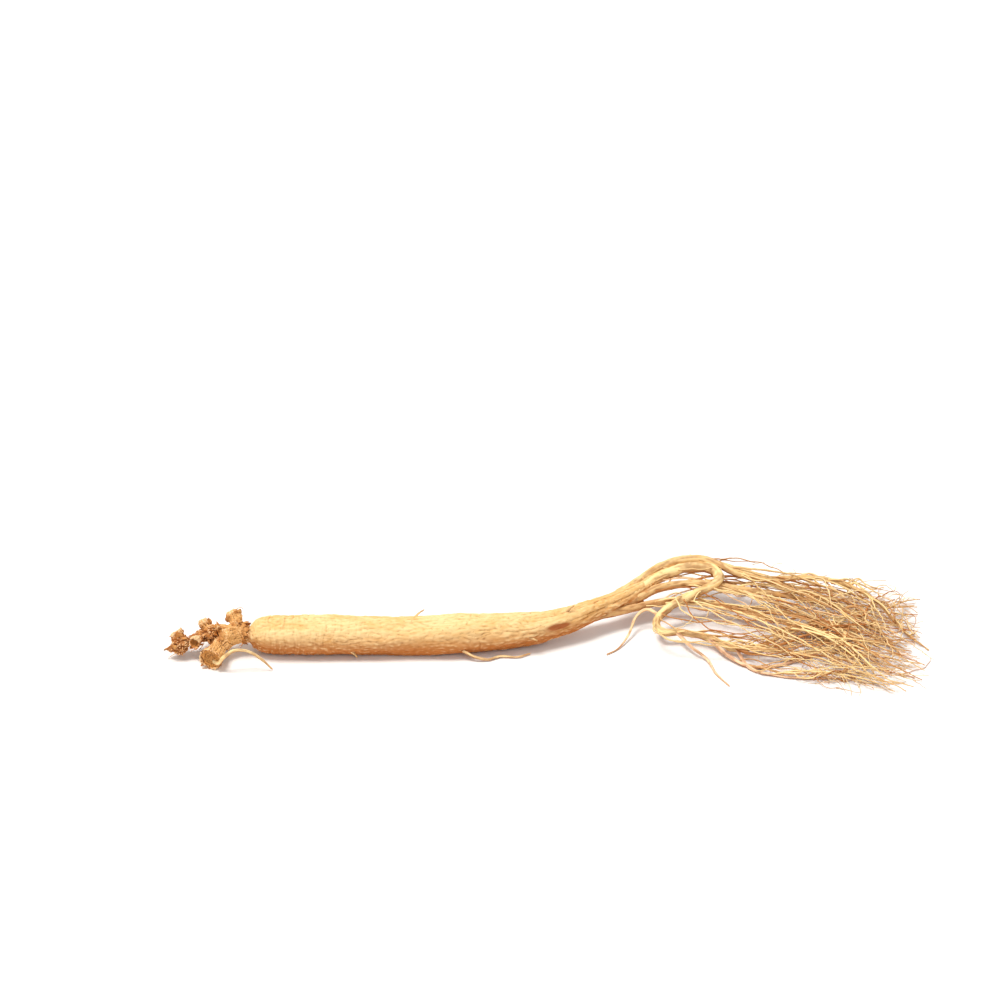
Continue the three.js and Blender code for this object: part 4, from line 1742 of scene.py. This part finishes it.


# Root skin that shrank as it dried in the sun: a matt, straw-pale outer cork with streaks along the
# root, so that it reads as dry plant skin. Painted shade browns its hollows, creases, scars, the
# shoulder beside the rhizome and the underside, and a painted highlight pales its bumps. The streaks
# are cork cells in rows, drawn 1 mm wide because the real 0.1 mm ones are too fine to show.
DRIED_SKIN = Finish(
    name="dried_root_skin",
    base="#F6D397",
    layers=(
        Layer("#E7AF62", 0.75, Grain((4.5, 4.5, 11), 3), 0.38, 0.75),
        Layer("#DDA050", 0.5, Grain((1, 1, 5), 5, 0.6), 0.48, 0.72),
        Layer("#D8913F", 0.5, Mark.TINT, 0.45, 1),
        # Painted shade: browner towards the underside.
        Layer("#B26119", 0.94, Mark.UNDERSIDE_SHADE, 0.1, 0.78),
        # Painted shade: browner in hollows, creases, scars and at the shoulder.
        Layer("#96591D", 0.66, Mark.SHADE_AND_HIGHLIGHT, 0.15, -1),
        # Painted highlight: paler on bumps.
        Layer("#FADEA6", 0.5, Mark.SHADE_AND_HIGHLIGHT, 0.1, 0.9),
        Layer("#A06A30", 0.4, Grain((0.8, 0.8, 0.6), 1), 0.68, 0.76),
        Layer("#A04E18", 0.9, Mark.STAIN, 0, 0.7),
    ),
    relief=(Grain((0.3, 0.3, 1.2), 3), Grain((0.35, 0.35, 0.35), 4, 0.65)),
    relief_depth=0.1,
    bump=0.6,
    roughness=(0.64, 0.84),
)
# The skin of side roots and rootlets, dried too: smoother, cream on the thick roots, pinkish on the
# fine front ones and golden brown on those deep in the fan, which tells the strands apart. Painted
# shade browns their creases and undersides, and a painted highlight pales their folds.
STRAND_SKIN = Finish(
    name="dried_rootlet_skin",
    base="#FFE2A4",
    layers=(
        Layer("#FABF66", 0.7, Grain((3, 3, 8), 3), 0.44, 0.78),
        Layer("#EDA548", 0.4, Grain((0.6, 0.6, 4), 5, 0.6), 0.5, 0.74),
        Layer("#B0611A", 0.9, Mark.TINT, 0.42, 0.95),
        Layer("#FFD0AC", 0.8, Mark.TINT, 0.3, 0.12),
        # Painted shade: browner on the undersides of the strands.
        Layer("#AC5C1A", 0.9, Mark.UNDERSIDE_SHADE, 0.5, 0.94),
        # Painted shade: browner in creases.
        Layer("#8E4710", 0.6, Mark.SHADE_AND_HIGHLIGHT, 0.05, -0.95),
        # Painted highlight: paler on folds.
        Layer("#FFEBB6", 0.55, Mark.SHADE_AND_HIGHLIGHT, 0.1, 0.9),
        Layer("#B5702C", 0.45, Mark.TIP, 0.6, 1),
    ),
    relief=(Grain((0.22, 0.22, 1.8), 3), Grain((0.35, 0.35, 0.35), 4, 0.65)),
    relief_depth=0.08,
    bump=0.5,
    roughness=(0.64, 0.84),
)
# Corky bark of the rhizome, torn as its stems fell off and then dried: tan, with golden cups.
# Painted shade turns its hollows and cups red-brown, and a painted highlight pales its ridges and
# cup rims. Rough against the smooth root, it is what shows the old stem scars.
RHIZOME_BARK = Finish(
    name="torn_rhizome_bark",
    base="#C67E36",
    layers=(
        Layer("#EDB87A", 0.85, Grain((2.2, 2.2, 2.2), 4), 0.42, 0.72),
        Layer("#EDBB76", 0.5, Mark.TINT, 0, 1),
        Layer("#A35A22", 0.65, Mark.TIP, 0, 1),
        # Painted highlight: paler on ridges and cup rims.
        Layer("#F6CF9C", 0.8, Mark.SHADE_AND_HIGHLIGHT, 0.2, 0.85),
        # Painted shade: red-brown in hollows and cups.
        Layer("#4C2210", 0.94, Mark.SHADE_AND_HIGHLIGHT, 0, -0.7),
        Layer("#5C3018", 0.35, Grain((0.6, 0.6, 0.6), 2), 0.62, 0.72),
        Layer("#CE9046", 0.42, Mark.STAIN, 0, 1),
    ),
    relief=(Grain((0.9, 0.9, 0.9), 3), Grain((0.3, 0.3, 0.3), 5, 0.7)),
    relief_depth=0.12,
    bump=0.7,
    roughness=(0.76, 0.88),
    specular=0.3,
)
# Matt paper backdrop, plain and nearly white, so that only the root has colour.
PAPER = "#F4F2EF"


@dataclass(frozen=True)
class AreaLight:
    """A soft light: where it stands, what it looks at, its width in metres and its power."""

    name: str
    place: Point
    width: float
    watts: float
    colour: str = "#FFFFFF"


@dataclass
class Studio:
    """The pale floor, the soft lights and the camera at the photograph's angle."""

    elevation: float = math.radians(27)
    distance: float = 1.15
    millimetres_per_pixel: float = 0.35
    frame_pixels: int = 1000
    origin_pixel: tuple[float, float] = (400, 651.6)
    floor_width: float = 12
    room_light: float = 0.5
    aim: Point = (0.05, 0.01, 0)
    lights: tuple[AreaLight, ...] = (
        AreaLight("key", (-0.8, -0.05, 2.4), 1.0, 58, "#FFFDFA"),
        AreaLight("fill", (0.4, -2.3, 1.7), 2.2, 18),
        AreaLight("back", (1.5, 2.1, 1.8), 1.8, 12),
    )

    def floor(self) -> bpy.types.Object:
        """Makes the plain floor.

        Returns:
            The floor.
        """
        half = self.floor_width / 2
        mesh = bpy.data.meshes.new("floor")
        corners = [(-half, -half, 0), (half, -half, 0), (half, half, 0), (-half, half, 0)]
        mesh.from_pydata(corners, [], [(0, 1, 2, 3)])
        graph = Graph("matt_paper")
        look = {"Base Color": linear(PAPER), "Roughness": 0.9}
        shader = graph.add("ShaderNodeBsdfPrincipled", look)
        graph.add("ShaderNodeOutputMaterial", {"Surface": shader.outputs[0]})
        mesh.materials.append(graph.material)
        floor = bpy.data.objects.new("floor", mesh)
        bpy.context.collection.objects.link(floor)
        return floor

    def light(self) -> None:
        """Sets the lights and the even light of the room."""
        for spec in self.lights:
            lamp = bpy.data.lights.new(spec.name, "AREA")
            lamp.size = spec.width
            lamp.energy = spec.watts
            lamp.color = linear(spec.colour)[:3]
            holder = bpy.data.objects.new(spec.name, lamp)
            holder.location = spec.place
            aim = Vector(self.aim) - Vector(spec.place)
            holder.rotation_euler = aim.to_track_quat("-Z", "Y").to_euler()
            bpy.context.collection.objects.link(holder)
        world = bpy.data.worlds.new("room")
        world.use_nodes = True
        backdrop = world.node_tree.nodes["Background"]
        backdrop.inputs["Color"].default_value = linear("#FFFFFF")
        backdrop.inputs["Strength"].default_value = self.room_light
        bpy.context.scene.world = world

    def camera(self) -> None:
        """Sets the camera so that the root lies where it does in the photograph's frame."""
        middle = self.frame_pixels / 2
        right = (middle - self.origin_pixel[0]) * self.millimetres_per_pixel * MM
        above = (self.origin_pixel[1] - middle) * self.millimetres_per_pixel * MM
        aim = Vector((right, above / math.sin(self.elevation), 0))
        back = Vector((0, -math.cos(self.elevation), math.sin(self.elevation)))
        nearer = aim.y * math.cos(self.elevation)
        camera = bpy.data.cameras.new("camera")
        field_width = self.frame_pixels * self.millimetres_per_pixel * MM
        camera.lens = camera.sensor_width * (self.distance - nearer) / field_width
        holder = bpy.data.objects.new("camera", camera)
        holder.location = aim + back * self.distance
        holder.rotation_euler = (-back).to_track_quat("-Z", "Y").to_euler()
        bpy.context.collection.objects.link(holder)
        bpy.context.scene.camera = holder
        bpy.context.scene.view_settings.view_transform = "Standard"


def main() -> None:
    """Builds the root's pieces in order, then the studio."""
    logging.basicConfig(level=logging.INFO, format="%(name)s: %(message)s")
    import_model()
    strand_skin = STRAND_SKIN.build()
    taproot = Taproot()
    taproot.build(DRIED_SKIN.build())
    Rhizome().build(RHIZOME_BARK.build())
    SideRoots().build(taproot, strand_skin)
    Rootlets().build(strand_skin)
    FineRootlets().build(strand_skin)
    studio = Studio()
    studio.floor()
    studio.light()
    studio.camera()


if __name__ == "__main__":
    main()
